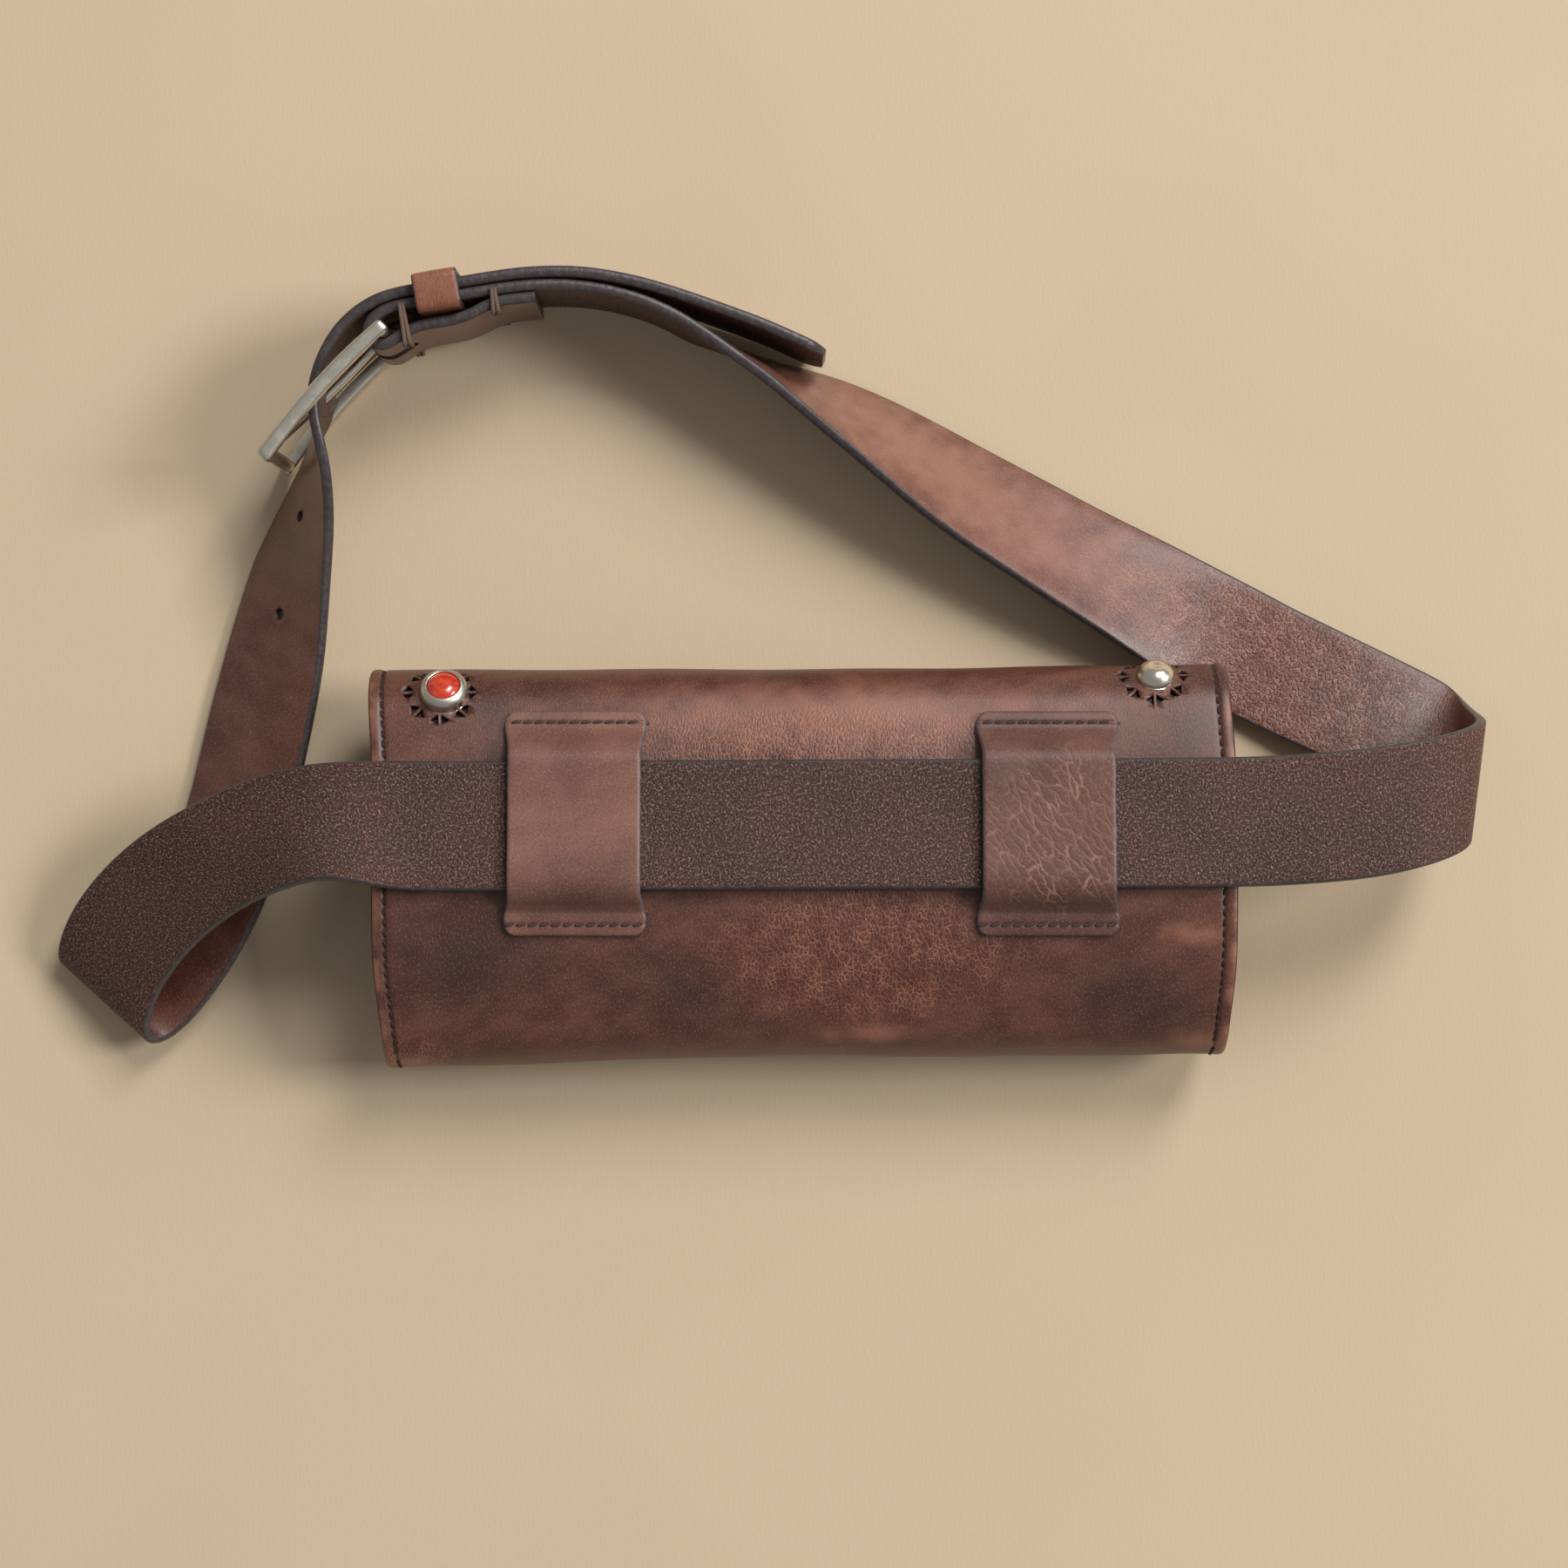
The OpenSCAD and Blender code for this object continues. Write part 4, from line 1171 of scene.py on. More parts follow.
@dataclass
class BeltLoop:
    """A leather loop sewn to the back panel by its two feet."""

    name: str
    node: str
    stitch_node: str
    x: float
    finish: PullUpLeather
    section: Section
    width: float = 41.0
    thick: float = 2.0
    waist: float = 1.15
    feet: tuple[float, float] = (-19.2, 46.2)
    pitch: float = 3.4

    def line(self) -> np.ndarray:
        """Returns the middle line of the leather, as Y and Z."""
        s = self.section
        lift = self.thick / 2 + 0.05

        def on(y: float, more: float = 0.0) -> tuple[float, float]:
            return y, s.height - s.crown_r + math.sqrt(s.crown_r ** 2 - y * y) + lift + more

        low, high = self.feet
        return smooth([on(low), on(-17.4), on(-15.5), on(-13.6, 0.05), on(-11.8, 0.2),
                       (-9.8, 50.4), (-7.6, 53), (-5, 54.4), (-1.5, 54.7), (6, 54.0),
                       (13.7, 53.2), (21.5, 52.4), (29.5, 51.7), (33.4, 50.9), (36, 48.8),
                       (38.4, 45.6), on(40.6, 0.3), on(42, 0.05), on(43.4), on(44.8),
                       on(high)], 5)

    def build(self) -> list[bpy.types.Object]:
        """Makes the loop and its two rows of stitches.

        Returns:
            The two pieces.
        """
        line = self.line()
        ahead = np.gradient(line, axis=0)
        ahead /= np.linalg.norm(ahead, axis=1)[:, None]
        normal = np.stack([-ahead[:, 1], ahead[:, 0]], 1)
        run = runs(line)
        total = run[-1]
        marks = [0, 0.1, 0.3, 0.7, 1.3]
        outer, inner, places = [], [], []
        for i, v in enumerate(run):
            end = min(v, total - v)
            round_end = max(0.0, 3.4 - end)
            corner = 3.4 - math.sqrt(max(0.0, 3.4 ** 2 - round_end ** 2))
            half = (self.width / 2 - corner
                    - self.waist * float(ease(end, 4, 16)) + 0.3 * math.exp(-(end - 5) ** 2 / 6))
            wide = [-half + m for m in marks] + list(np.linspace(-half + 2, half - 2, 30)) + [
                half - m for m in reversed(marks)]
            for x in wide:
                edge = min(half - abs(x), end)
                off = 0.5 * (1 - min(1.0, edge / 0.8)) ** 2
                sag = -0.22 * float(ease(half - abs(x), 0, 12)) * float(ease(end, 12, 26))
                groove = -0.3 * math.exp(-((end - 3.5) / 0.5) ** 2)
                for points, depth in ((outer, self.thick / 2 - off + sag + groove),
                                      (inner, -self.thick / 2 + off * 0.6 + sag)):
                    y, z = line[i] + normal[i] * depth
                    points.append((self.x + x, y, z))
                places.append((x, v - total / 2))
        points, faces, skins = sheet(np.array(outer), np.array(inner), len(run), 40, 2)
        loop = make_piece(self.name, points, [f[::-1] for f in faces], np.array(places * 2),
                          [self.finish, WRAP_FLESH, LOOP_EDGE], skins, 50)
        parts = []
        for mark in (3.5, total - 3.5):
            i = int(np.argmin(abs(run - mark)))
            upper = mark > 10
            for k in range(12):
                x = self.x + (k - 5.1 if upper else k - 5.6) * self.pitch
                beyond = abs(x - self.x) > self.width / 2 - 0.8
                path = []
                for t in (-1, -0.8, -0.4, 0, 0.4, 0.8, 1):
                    up = self.thick / 2 - 0.5 + 0.62 * (1 - t ** 4) - 1.6 * beyond
                    y, z = line[i] + normal[i] * up + ahead[i] * 0.28 * t
                    path.append((x + 1.35 * t, y, z))
                parts.append(sweep(path, [0.3, 0.42, 0.46, 0.48, 0.46, 0.42, 0.3], 8))
        thread = make_piece(f"{self.name}_thread", *joined(parts), None, [THREAD])
        fasten(loop, Body.BACK, "loop_leather", self.node)
        fasten(thread, Body.BACK, "waxed_thread", self.stitch_node)
        return [loop, thread]


# ---------------------------------------------------------------- studs


@dataclass
class Stud:
    """A cast stud that caps the flap's closure, with or without a stone."""

    name: str
    node: str
    place: tuple[float, float]
    outline: tuple[tuple[float, float], ...]
    finish: Any
    slot: str
    section: Section
    per_span: int = 4

    def build(self) -> bpy.types.Object:
        """Makes the stud on the flap's shoulder.

        Returns:
            The piece.
        """
        points, faces = lathe(self.outline, 72, self.per_span)
        s, (x, tilt) = self.section, self.place
        (y, z), (ny, nz) = s.at(s.tilt_v(tilt))
        _, y, z = s.settle(x, float(y), float(z))
        placed = np.stack([x + points[:, 0], y + points[:, 1] * nz + points[:, 2] * ny,
                           z - points[:, 1] * ny + points[:, 2] * nz], 1)
        piece = make_piece(self.name, placed, faces, points[:, :2] + points[:, 2:] * 0.7,
                           [self.finish], sharp=60)
        fasten(piece, Body.BACK, self.slot, self.node)
        return piece


# ---------------------------------------------------------------- belt


def standing(points: Sequence[Point], width: float = 38.0) -> list[tuple[float, ...]]:
    """Returns stations of a strap that stands on edge, from X, Y and its lower edge's height."""
    return [(x, y, z, x, y, z + width) for x, y, z in points]


BILLET = standing([
    (6, 152.4, 1.2), (-3, 156.4, 1.2), (-12, 160.4, 1.4), (-23, 164.4, 1.8), (-34, 168.2, 2.4),
    (-45, 171.6, 3), (-55, 173.9, 3.4), (-66, 175.4, 4), (-77, 175.4, 4.6), (-86, 174.6, 5),
    (-94.6, 173.2, 5.6), (-107.4, 171, 6.2), (-120, 168.8, 6.5), (-128, 165.6, 6.5),
    (-135.2, 159.8, 6.5), (-140.2, 152.4, 6.5), (-143.3, 144, 6.5), (-144.2, 136, 6.5)])
LEFT_RETURN = [
    (-148.2, 129, 6.2, -142.4, 127, 43.4), (-151.9, 120.5, 4.6, -140.6, 118, 40.6),
    (-157, 112, 2.2, -140, 107.5, 36), (-161.5, 103, 1.8, -140.5, 98, 32.4),
    (-166, 94, 1.8, -141.5, 87, 29.4), (-170, 83, 1.7, -142.5, 75, 26.4),
    (-174, 70, 1.7, -144, 61.5, 23), (-178, 56, 1.7, -146.5, 47.5, 21),
    (-181.5, 42, 1.7, -149.5, 34.5, 20), (-184.5, 29, 1.7, -152.5, 21, 20),
    (-188, 16, 1.7, -156.5, 6.5, 20), (-193, 4, 1.8, -162, -10, 18),
    (-200, -8, 1.7, -169.5, -24, 15), (-208, -18, 1.8, -179, -38, 11.5),
    (-215, -25, 1.9, -187.5, -47.5, 9)]
LEFT_BEND = [
    (-221, -29.2, 3.2, -193.4, -52, 10.2), (-224.4, -28.4, 6.6, -196.6, -52, 13.6),
    (-225, -24.4, 9.8, -197, -48.8, 18), (-222.4, -16.8, 12.6, -194.6, -41.4, 22),
    (-216.6, -7.8, 16.5, -189, -32.5, 27), (-208.2, 1.4, 21, -181.2, -24, 32.5),
    (-197.8, 9.8, 26, -172, -16.5, 38.5), (-185.4, 17, 31, -161.5, -10, 45),
    (-171, 23.2, 36, -151, -5.5, 51), (-157.5, 28, 40.6, -141.5, -2.8, 55.6),
    (-146, 30.4, 44.2, -133.5, -3, 57.2), (-135, 31.4, 46.6, -126, -4.2, 55.6),
    (-124, 31.6, 47.5, -119, -5.6, 52.8), (-114, 31.6, 47.7, -112, -6.2, 51.2)]
OVER_CASE = [
    (-104, 31.6, 47.7, -104, -6.2, 51.1), (-62, 31.8, 47.7, -62, -6, 51.1),
    (-20, 32, 47.7, -20, -5.8, 51.1), (22, 32.2, 47.7, 22, -5.6, 51.1),
    (64, 32.4, 47.7, 64, -5.4, 51.1), (106, 32.6, 47.7, 106, -5.2, 51.1),
    (133, 33, 47.9, 133, -4.8, 51.1)]
RIGHT_BEND = [
    (150, 34.2, 48.5, 151, -3.8, 51.2), (167, 36, 48.6, 166, -2.4, 50.9),
    (181, 38.4, 46.6, 178, 0, 49), (191, 40.8, 42.6, 186.6, 2.4, 45.8),
    (198, 43, 36.4, 192.4, 4.8, 41.4), (201.8, 45, 27, 195.6, 7.8, 35),
    (201.2, 47.4, 15.6, 195, 11.4, 27.6), (199.8, 50.4, 6.6, 191.8, 16.4, 19.6),
    (196.4, 54.2, 2.4, 185, 21.2, 13.6), (187.4, 59, 1.9, 173.6, 26.2, 10.2)]
RIGHT_RETURN = [
    (172, 66.4, 1.9, 156, 34.4, 7.4), (156, 74.4, 1.9, 140, 41.6, 5.6),
    (148, 78.6, 1.9, 131.6, 45.4, 5), (140, 83, 1.9, 123.4, 49.8, 5.6),
    (124, 91.2, 1.9, 107.6, 58.6, 10.4), (108, 99.4, 1.9, 92, 68.6, 16.6),
    (91, 107.6, 1.9, 76, 78.2, 20.4), (75, 116, 1.9, 61, 88, 23),
    (59, 124.2, 1.9, 45.4, 98, 25.4), (43, 132.6, 1.9, 31, 109, 28.6),
    (27, 140.6, 1.8, 17.4, 120.6, 32), (10.4, 147.4, 1.6, 3.2, 132.2, 35.4),
    (-4.6, 151.2, 1.4, -9.4, 143.2, 37.6), (-15.6, 154.6, 1.3, -18.8, 150, 38.6),
    (-25, 158, 1.2, -26.6, 155.8, 38.9)]
FOLD_END = standing([
    (-34, 160.8, 1), (-40, 164.2, 1.2), (-48, 167.6, 2), (-59, 170.5, 2.6), (-70, 171.7, 3.4),
    (-80, 171.4, 4.4), (-88, 170.5, 5), (-94.6, 169.4, 5.6), (-107.4, 167.2, 6.2),
    (-118.4, 165.3, 6.5), (-123, 163.8, 6.5), (-126.4, 161.4, 6.5), (-127.9, 158.4, 6.5),
    (-127.5, 155.8, 6.5), (-125.9, 154, 6.5), (-123.4, 153.6, 6.5), (-121.2, 154.4, 6.5),
    (-117.8, 156.8, 6.5), (-112, 159.5, 6.5), (-104, 160.6, 6.4), (-98, 162.5, 6.2),
    (-94, 164.8, 5.8), (-90, 166.4, 5.6), (-85, 167.2, 5.4), (-79, 167.7, 5.2)])


@dataclass
class Buckle:
    """The buckle's two bars, two bowed rails and prong, in the frame of its heel bar."""

    heel: tuple[float, float] = (-124.0, 157.5)
    front: tuple[float, float] = (-156.5, 121.5)
    middle_z: float = 25.5
    height: float = 50.2
    rail_wide: float = 4.0
    rail_high: float = 4.2
    bow: float = 1.6

    def __post_init__(self) -> None:
        """Works out the distance and direction between the bars."""
        dx, dy = self.front[0] - self.heel[0], self.front[1] - self.heel[1]
        self.length, self.angle = math.hypot(dx, dy), math.atan2(dy, dx)

    def out(self, points: np.ndarray) -> np.ndarray:
        """Returns points given along, beside and above the heel bar's foot, in the frame."""
        c, s = math.cos(self.angle), math.sin(self.angle)
        p = np.asarray(points, float)
        return np.stack([self.heel[0] + c * p[:, 0] - s * p[:, 1],
                         self.heel[1] + s * p[:, 0] + c * p[:, 1], p[:, 2]], 1)

    def rail(self, z: float) -> tuple[np.ndarray, list[list[int]]]:
        """Returns one bowed rail whose flat section has rounded corners."""
        w, h, r = self.rail_wide / 2, self.rail_high / 2, 1.15
        rings = []
        stops = [(0, 0.45), (0.25, 0.78), (0.7, 0.93), (1.5, 1.0)]
        n = 22
        runs = ([(d, k) for d, k in stops]
                + [((self.length + 4.6) * i / n, 1.0) for i in range(1, n)]
                + [(self.length + 4.6 - d, k) for d, k in reversed(stops)])
        for run, k in sorted(runs):
            t = run / (self.length + 4.6)
            x = -2.3 + run
            y = -self.bow * 4 * t * (1 - t)
            wide = 1.0 + 0.12 * float(ease(t, 0, 0.25))
            ring = []
            for cy, cz, a0 in ((1, 1, 0), (-1, 1, 90), (-1, -1, 180), (1, -1, 270)):
                for a in (0, 30, 60, 90):
                    turn = math.radians(a0 + a)
                    ring.append((x, y + k * wide * (cy * (w - r) + r * math.cos(turn)),
                                 z + h + k * (cz * (h - r) + r * math.sin(turn))))
            rings.append(ring)
        rings = np.array(rings)
        return rings.reshape(-1, 3), loft(rings, False)

    def build(self) -> list[bpy.types.Object]:
        """Makes the buckle and its prong.

        Returns:
            The two pieces.
        """
        low = self.middle_z - self.height / 2
        rails = [self.rail(low), self.rail(low + self.height - self.rail_high)]
        bars = []
        for x, r in ((0.0, 1.9), (self.length, 2.1)):
            heights = np.linspace(low + 1.2, low + self.height - 1.2, 18)
            path = [(x, -0.5 * (x > 0), z) for z in heights]
            swell = [r * (1.12 if i in (0, 17) else 1.0) for i in range(18)]
            bars.append(sweep(path, swell, 20))
        points, faces = joined(rails + bars)
        frame = make_piece("cast_buckle", self.out(points), faces, points[:, :2], [SILVER],
                           sharp=50)
        z = self.middle_z
        turn = np.linspace(0, 2 * math.pi, 24, endpoint=False)
        ring = sweep([(2.95 * math.cos(t), 2.95 * math.sin(t), z) for t in turn], 0.95, 12, True,
                     2.3)
        rod = sweep(smooth([(2.4, -1.6, z), (9, -1.5, z), (18, -1.6, z), (27, -2.3, z),
                            (36, -3.1, z), (44, -3.9, z), (self.length, -4.1, z),
                            (self.length + 1.9, -3.95, z)], 4),
                    [1.35] * 26 + [1.3, 1.15, 0.6], 16)
        points, faces = joined([ring, rod])
        prong = make_piece("buckle_tongue", self.out(points), faces, points[:, :2], [SILVER],
                           sharp=50)
        fasten(frame, Body.BUCKLE, "silver", "buckle_frame")
        fasten(prong, Body.PRONG, "silver", "buckle_prong")
        return [frame, prong]


@dataclass
class Belt:
    """The strap, its keeper and the laces that hold its fold round the heel bar."""

    buckle: Buckle
    width: float = 38.0
    thick: float = 3.3
    corner: float = 0.95
    keeper_at: tuple[float, float] = (-107.4, 169.1)
    keeper_turn: float = 9.8
    keeper_wide: float = 13.3
    keeper_t: float = 1.9
    steps: int = 6

    def strap_rings(self) -> tuple[np.ndarray, np.ndarray]:
        """Sweeps the strap's section along its route.

        Returns:
            Rings of points, and the run of each ring from the tip.
        """
        stations = (BILLET + LEFT_RETURN + LEFT_BEND + OVER_CASE + RIGHT_BEND + RIGHT_RETURN
                    + FOLD_END)
        fine = smooth(stations, self.steps)
        for _ in range(10):
            fine[1:-1] = (fine[:-2] + 2 * fine[1:-1] + fine[2:]) / 4
        a, b = fine[:, :3], fine[:, 3:]
        middle = (a + b) / 2
        across = b - a
        across /= np.linalg.norm(across, axis=1)[:, None]
        ahead = np.gradient(middle, axis=0)
        up = np.cross(ahead, across)
        up /= np.linalg.norm(up, axis=1)[:, None]
        run = runs(middle)
        outline = self.outline()
        rings = np.array([middle[i] + np.outer(outline[:, 0], across[i])
                          + np.outer(outline[:, 1], up[i]) for i in range(len(run))])
        tip = 6.5
        for i, r in enumerate(run):
            if r < tip:
                narrow = 1 - 0.28 * (1 - r / tip) ** 2.2
                rings[i] = middle[i] + (rings[i] - middle[i]) * narrow
        return rings, run

    def outline(self) -> np.ndarray:
        """Returns the strap's section: across and up, with rounded edges."""
        w, h, r = self.width / 2, self.thick / 2, self.corner
        flat = np.linspace(-1, 1, 13) * (w - r)
        arc = np.radians([18, 36, 54, 72, 90, 108, 126, 144, 162])
        right = [((w - r) + r * math.sin(a), -math.cos(a) * h) for a in arc]
        return np.array([(x, -h) for x in flat] + right + [(x, h) for x in flat[::-1]]
                        + [(-x, -z) for x, z in right])

    def strap(self) -> bpy.types.Object:
        """Makes the strap, with its punched holes.

        Returns:
            The piece.
        """
        rings, run = self.strap_rings()
        n, around = rings.shape[:2]
        outline = self.outline()
        faces = [f[::-1] for f in loft(rings, False)]
        kinds = ([Skin.INNER.value] * 12 + [Skin.EDGE.value] * 10 + [Skin.OUTER.value] * 12
                 + [Skin.EDGE.value] * 10)
        skins = kinds * (n - 1) + [Skin.EDGE.value] * 2
        # Round the edges the place keeps growing past the width, so the paint isn't smeared.
        across = np.concatenate([outline[:13, 0], outline[12, 0] + np.arange(1, 10) * 0.45,
                                 outline[22:35, 0], -(outline[12, 0] + np.arange(1, 10) * 0.45)])
        places = np.array([(across[k], run[i]) for i in range(n) for k in range(around)])
        strap = make_piece("belt_strap_leather", rings.reshape(-1, 3), faces, places,
                           [STRAP_GRAIN, STRAP_FLESH, STRAP_EDGE, PUNCHED], skins, 55)
        cut_with(strap, self.punches(rings))
        return strap

    def punches(self, rings: np.ndarray) -> bpy.types.Object:
        """The shapes that cut the strap: round holes, and the prong's slot at the fold.

        Args:
            rings: The strap's rings of points.

        Returns:
            The punches.
        """
        b, z = self.buckle, self.buckle.middle_z
        parts = []
        rise = (-4.1 + 1.6) / b.length
        hole = sweep([(t, -1.6 + rise * t, z) for t in (20, 26, 33, 40)], 2.3, 20)
        parts.append((b.out(hole[0]), hole[1]))
        slot = np.array([[(x, y * 7.4, z + v * 3.3) for y, v in
                          ((-1, -0.6), (-1, 0.6), (-0.9, 1), (0.9, 1), (1, 0.6), (1, -0.6),
                           (0.9, -1), (-0.9, -1))] for x in (-6.5, 7.5)])
        parts.append((b.out(slot.reshape(-1, 3)), [f[::-1] for f in loft(slot, False)]))
        middle, ups = rings.mean(1), rings[:, 28] - rings[:, 6]
        for station, past in ((20.5, 0.0), (23.0, 2.8)):
            i = int(station * self.steps)
            ahead, up = middle[i + 1] - middle[i - 1], ups[i] / np.linalg.norm(ups[i])
            at = middle[i] + past * ahead / np.linalg.norm(ahead)
            parts.append(sweep([at + d * up for d in (-5, -2, 2, 5)], 1.8, 20))
        for x, y, dx, dy in ((-62, 175.1, 0.05, 1), (-33, 167.8, 0.3, 1)):
            parts.append(sweep([(x + dx * d, y + dy * d, 22.5) for d in (-2.6, -1, 1, 3)],
                               1.8, 20))
        points, faces = joined(parts)
        return make_piece("strap_punches", points, faces, None, [PUNCHED] * 4,
                          [Skin.PIT.value] * len(faces))

    def beside_strap(self, x: float, y: float, turn: float, points: np.ndarray) -> np.ndarray:
        """Returns points given along, across and above a place of the standing strap."""
        c, s = math.cos(math.radians(turn)), math.sin(math.radians(turn))
        p = np.asarray(points, float)
        return np.stack([x + c * p[:, 0] - s * p[:, 1], y + s * p[:, 0] + c * p[:, 1], p[:, 2]], 1)

    def keeper(self) -> bpy.types.Object:
        """Makes the keeper: a band of tan leather round the strap's two layers.

        Returns:
            The piece.
        """
        half, low, high, r, t = 3.95, 4.2, 47.4, 2.0, self.keeper_t
        centre, normal = [], []
        for cy, cz, a0 in ((1, high, 0), (-1, high, 90), (-1, low, 180), (1, low, 270)):
            for a in range(0, 91, 15):
                turn = math.radians(a0 + a)
                normal.append((math.cos(turn), math.sin(turn)))
                side = 1 if cz == high else -1
                centre.append((cy * (half - 0.4) + 0.4 * math.cos(turn),
                               cz - side * 0.4 + 0.4 * math.sin(turn)))
        centre, normal = np.array(centre), np.array(normal)
        run = runs(np.vstack([centre, centre[:1]]))
        wide = self.keeper_wide / 2
        section = [(-wide, 0.25), (-wide + 0.25, 0.05), (-wide + 0.9, 0), (0, 0),
                   (wide - 0.9, 0), (wide - 0.25, 0.05), (wide, 0.25), (wide, 0.6 * t),
                   (wide - 0.12, t - 0.3), (wide - 0.5, t - 0.06), (wide - 1.6, t),
                   (wide - 4, t + 0.06), (0, t + 0.1), (-wide + 4, t + 0.06), (-wide + 1.6, t),
                   (-wide + 0.5, t - 0.06), (-wide + 0.12, t - 0.3), (-wide, 0.6 * t)]
        rings = np.array([[(x, *(c + m * d)) for x, d in section]
                          for c, m in zip(centre, normal)])
        kinds = [1, 1, 1, 1, 1, 1, 2, 2, 2, 0, 0, 0, 0, 0, 0, 2, 2, 2]
        places = np.array([(x, v) for v in run[:-1] for x, _ in section])
        piece = make_piece("strap_keeper_leather", self.beside_strap(
            *self.keeper_at, self.keeper_turn, rings.reshape(-1, 3)),
            [f[::-1] for f in loft(rings, True)], places,
            [KEEPER_LEATHER, WRAP_FLESH, STRAP_EDGE], kinds * len(rings), 60)
        fasten(piece, Body.KEEPER, "keeper_leather", "strap_keeper")
        return piece

    def tie(self, name: str, node: str, x: float, y: float, turn: float, inner: float,
            outer: float, low: float) -> bpy.types.Object:
        """Makes one tie: two strands over the edges of the fold's layers, top and bottom.

        Args:
            name: The piece's name.
            node: The frame's node that it stands for.
            x: Place of the tie.
            y: Place of the tie.
            turn: Direction of the strap there, in degrees.
            inner: Offset of the fold's inner face.
            outer: Offset of the outer end.
            low: Height of the strap's lower edge.

        Returns:
            The piece.
        """
        parts = []
        for up in (-1, 1):
            edge = low + self.width / 2 + up * (self.width / 2 + 0.55)
            for lane, cross in ((-0.85, 0.5), (0.85, -0.35)):
                face = [(lane, inner - 0.2, edge - 6.5), (lane, inner - 0.45, edge - 1.8),
                        (lane + 0.1 * cross, inner - 0.3, edge - 0.2)] if up > 0 else []
                path = smooth(face + [
                               (lane + cross * 0.4, inner + 0.9, edge + up * 0.3),
                               (lane + cross * 0.8, (inner + outer) / 2, edge + up * 0.35),
                               (lane + cross, outer - 0.7, edge + up * 0.2),
                               (lane + cross, outer - 0.1, edge - up * 0.5)], 4)
                parts.append(sweep(path, 0.68, 10))
        points, faces = joined(parts)
        piece = make_piece(name, self.beside_strap(x, y, turn, points), faces, None, [LACE])
        fasten(piece, Body.BELT, "lace", node)
        return piece

    def build(self) -> list[bpy.types.Object]:
        """Makes the strap, keeper, ties and buckle.

        Returns:
            The pieces.
        """
        strap = self.strap()
        fasten(strap, Body.BELT, "belt_leather", "belt_strap")
        front = self.tie("front_lace_tie", "fold_tie_front", -117.3, 161, 9.8, -7, 4.4, 6.5)
        rear = self.tie("rear_lace_tie", "fold_tie_rear", -91, 168, 8, -4.4, 2, 5.5)
        return [strap, self.keeper(), front, rear, *self.buckle.build()]


# ---------------------------------------------------------------- closure and studio


def dress_closure(nodes: dict[str, bpy.types.Object]) -> None:
    """Gives the hidden steel parts of the closure their finish."""
    for name in ("stone_bezel_post", "dome_button_post", "closure_magnets", "closure_plates"):
        mesh = nodes[name].data
        if UV_NAME not in mesh.uv_layers:
            layer = mesh.uv_layers.new(name=UV_NAME)
            for loop in mesh.loops:
                p = mesh.vertices[loop.vertex_index].co / MM
                layer.data[loop.index].uv = (p.x + p.z, p.y + p.z)
        mesh.materials.clear()
        mesh.materials.append(material(STEEL))


@dataclass
class Studio:
    """A pale table, soft light from the upper right and the camera straight above."""

    camera_at: Point = (-0.006, 0.025, 1.05)
    lens: float = 78.94
    table: str = "#d3bd9f"
    window: tuple[Point, float, tuple[float, float]] = ((0.34, 0.62, 0.71), 144.0, (1.5, 2.4))
    lamp: tuple[Point, float, tuple[float, float]] = ((0.75, 0.14, 0.65), 140.0, (1.5, 1.5))
    distance: float = 5.0
    sky: float = 0.25

    def camera(self) -> None:
        """Adds the camera that looks straight down."""
        data = bpy.data.cameras.new("camera")
        data.lens, data.sensor_width, data.clip_start, data.clip_end = self.lens, 36, 0.05, 20
        camera = bpy.data.objects.new("camera", data)
        camera.location = self.camera_at
        bpy.context.scene.collection.objects.link(camera)
        bpy.context.scene.camera = camera

    def light(self, name: str, towards: Point, power: float, size: tuple[float, float]) -> None:
        """Adds one soft rectangular light that shines on the object.

        Args:
            name: The light's name.
            towards: The way to it from the object.
            power: Its power in watts.
            size: Its two sides, in metres.
        """
        data = bpy.data.lights.new(name, "AREA")
        data.shape, data.energy = "RECTANGLE", power
        data.size, data.size_y = size
        light = bpy.data.objects.new(name, data)
        way = Vector(towards).normalized()
        light.location = way * self.distance
        light.rotation_euler = way.to_track_quat("Z", "Y").to_euler()
        bpy.context.scene.collection.objects.link(light)

    def build(self) -> None:
        """Sets up the floor, the lights and the world."""
        p = Pattern("pale_painted_table")
        shade = p.add(Kind.NOISE, p.uv, 1 / 160, 2.0)
        shade = p.add(Kind.EASE, shade, 0.35, 0.65, 0, 0.3)
        colour = p.add(Kind.BLEND, shade, self.table, "#cbb597")
        weave = p.add(Kind.NOISE, p.moved(90, 3.3), 1 / 0.9, 3.0, 0.6)
        p.finish(colour, 0.85, weave, 0.06, {"Specular IOR Level": 0.25})
        mesh = bpy.data.meshes.new("floor")
        side, middle = 3.0, (-0.006, 0.025)
        corners = [(-1, -1), (1, -1), (1, 1), (-1, 1)]
        mesh.from_pydata([(middle[0] + x * side, middle[1] + y * side, 0) for x, y in corners],
                         [], [[0, 1, 2, 3]])
        layer = mesh.uv_layers.new(name=UV_NAME)
        for k, (x, y) in enumerate(corners):
            layer.data[k].uv = (x * side / MM, y * side / MM)
        mesh.materials.append(p.material)
        floor = bpy.data.objects.new("floor", mesh)
        bpy.context.scene.collection.objects.link(floor)
        self.light("window_behind", *self.window)
        self.light("lamp_at_the_right", *self.lamp)
        world = bpy.data.worlds.new("studio")
        world.use_nodes = True
        world.node_tree.nodes["Background"].inputs["Color"].default_value = linear("#ffffff")
        world.node_tree.nodes["Background"].inputs["Strength"].default_value = self.sky
        scene = bpy.context.scene
        scene.world = world
        scene.view_settings.view_transform = "Standard"


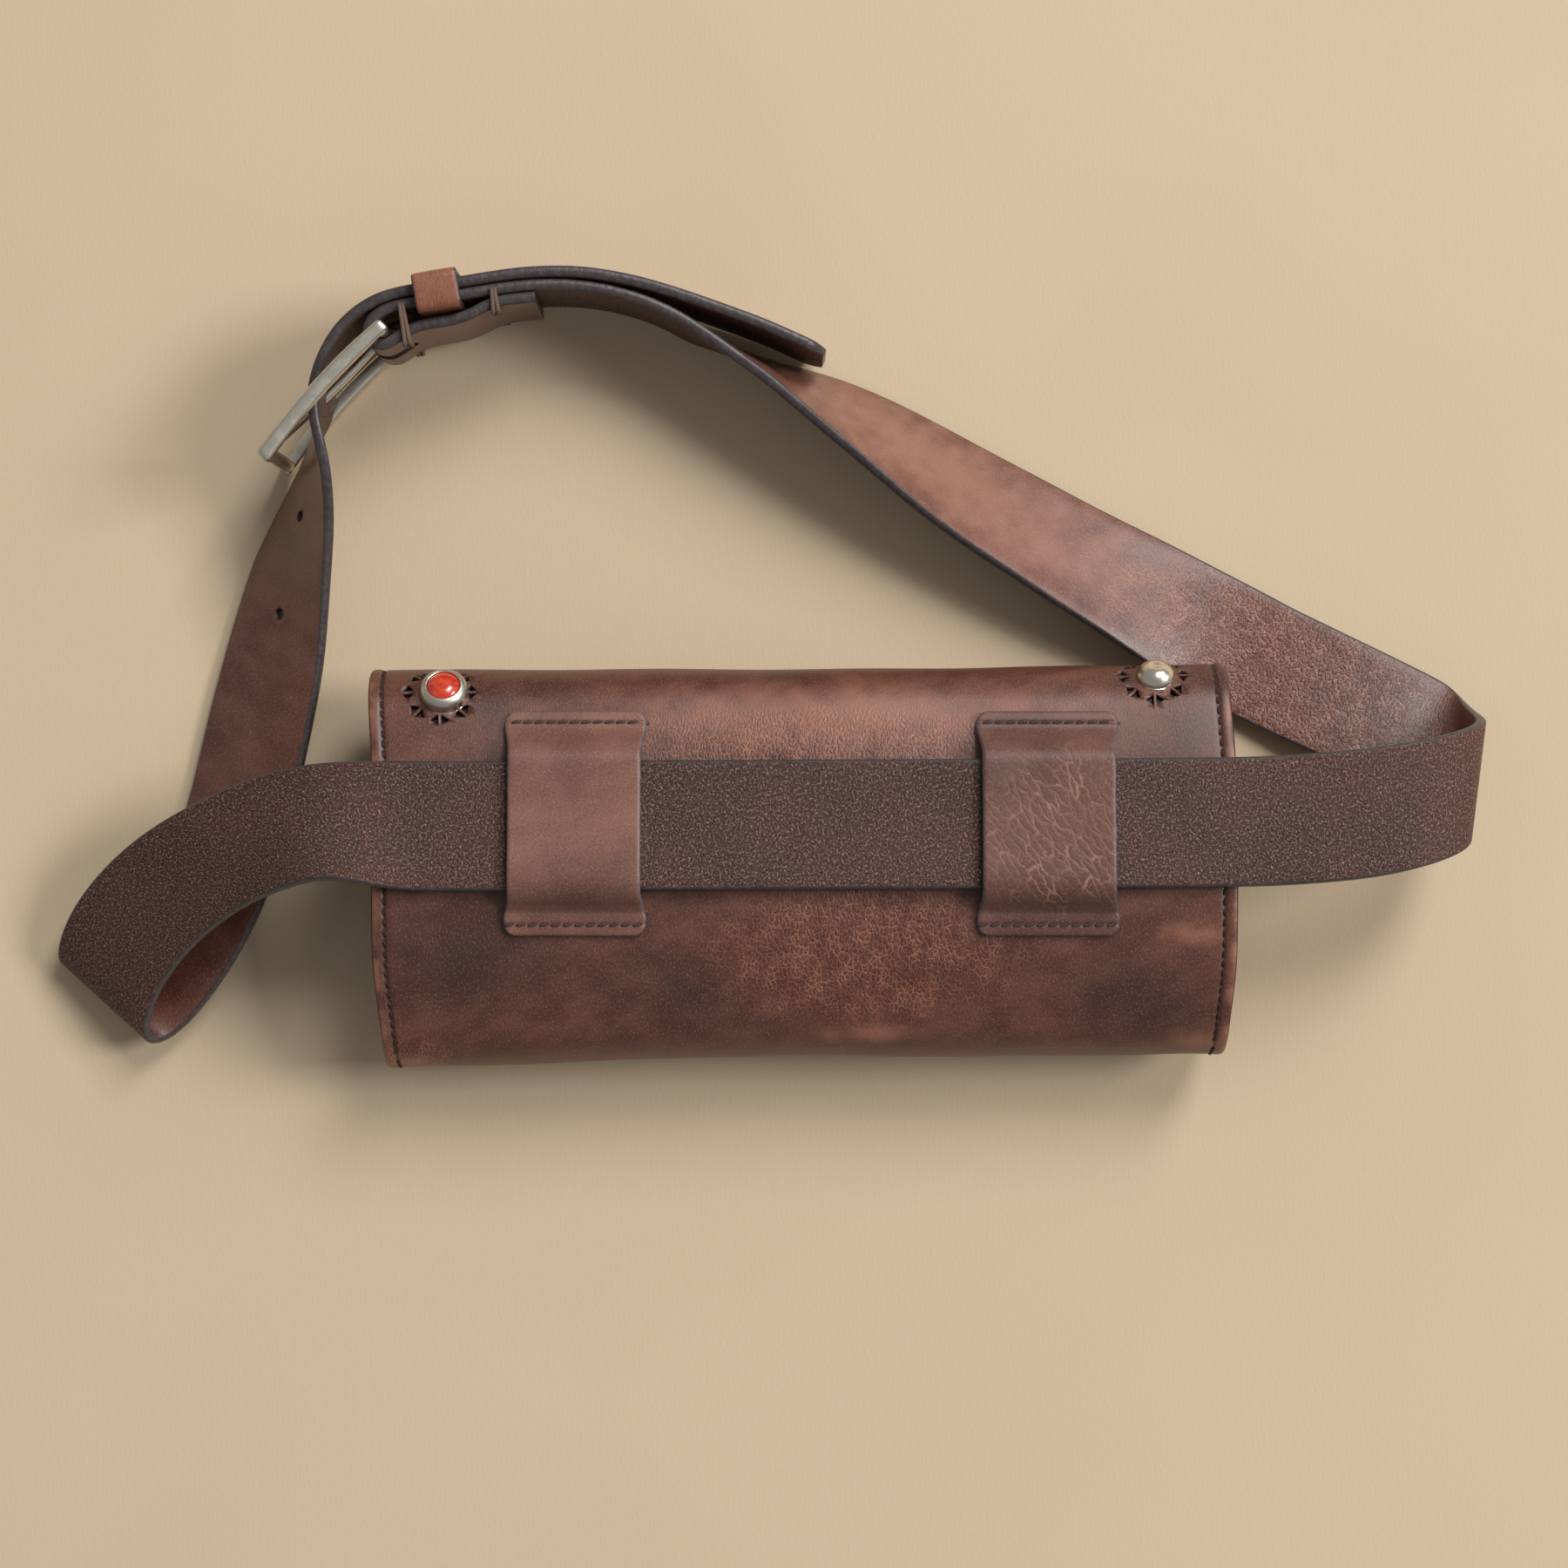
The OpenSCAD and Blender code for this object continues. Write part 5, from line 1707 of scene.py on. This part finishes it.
BEZEL = ((0.0, -0.98), (6.6, -0.98), (7.0, -0.7), (7.1, -0.1), (7.12, 0.7), (7.05, 1.5),
         (6.85, 2.25), (6.5, 2.95), (6.05, 3.45), (5.6, 3.75), (5.22, 3.88), (4.98, 3.8),
         (4.86, 3.5), (4.84, 2.4), (4.84, 1.25), (4.0, 1.2), (0.0, 1.2))
STONE = ((0.0, 1.25), (4.4, 1.25), (4.78, 1.3), (4.8, 2.2), (4.76, 3.2), (4.45, 3.75),
         (3.7, 4.3), (2.6, 4.8), (1.3, 5.08), (0.0, 5.15))
DOME = ((0.0, -0.98), (5.4, -0.98), (5.75, -0.75), (5.75, -0.2), (5.7, 0.4), (5.45, 1.1),
        (4.95, 2.0), (4.25, 2.75), (3.4, 3.35), (2.5, 3.7), (1.8, 3.78), (1.2, 3.66),
        (0.6, 3.5), (0.0, 3.45))


def main() -> None:
    """Builds every sub-assembly on the frame and reports it."""
    logging.basicConfig(level=logging.INFO, format="%(name)s: %(message)s")
    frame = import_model()
    studio = Studio()
    studio.camera()
    section = Section()
    roll = Roll(section)
    pieces = roll.build()
    for pocket in (
            Pocket("brush_pocket", section, Body.FRONT, (-44.0, 30.0), 6, True),
            Pocket("tool_pocket", section, Body.BACK, (-38.0, 34.0), 2, False)):
        pieces += pocket.build()
    for loop in (
            BeltLoop("left_belt_loop", "belt_loop_left", "loop_stitching_left", -67.0,
                     LOOP_LEATHER, section),
            BeltLoop("right_belt_loop", "belt_loop_right", "loop_stitching_right", 71.0,
                     WRINKLED_LEATHER, section)):
        pieces += loop.build()
    left, right = roll.studs
    for stud in (
            Stud("silver_bezel", "stone_bezel", left, BEZEL, SILVER, "silver", section),
            Stud("coral_cabochon", "coral_stone", left, STONE, PolishedCoral(), "coral",
                 section),
            Stud("silver_dome", "dome_button", right, DOME, BRIGHT_SILVER, "silver", section)):
        pieces.append(stud.build())
    pieces += Belt(Buckle()).build()
    dress_closure(frame["nodes"])
    studio.build()
    for piece in pieces:
        LOG.info("%s: %d points", piece.name, len(piece.data.vertices))


if __name__ == "__main__":
    main()
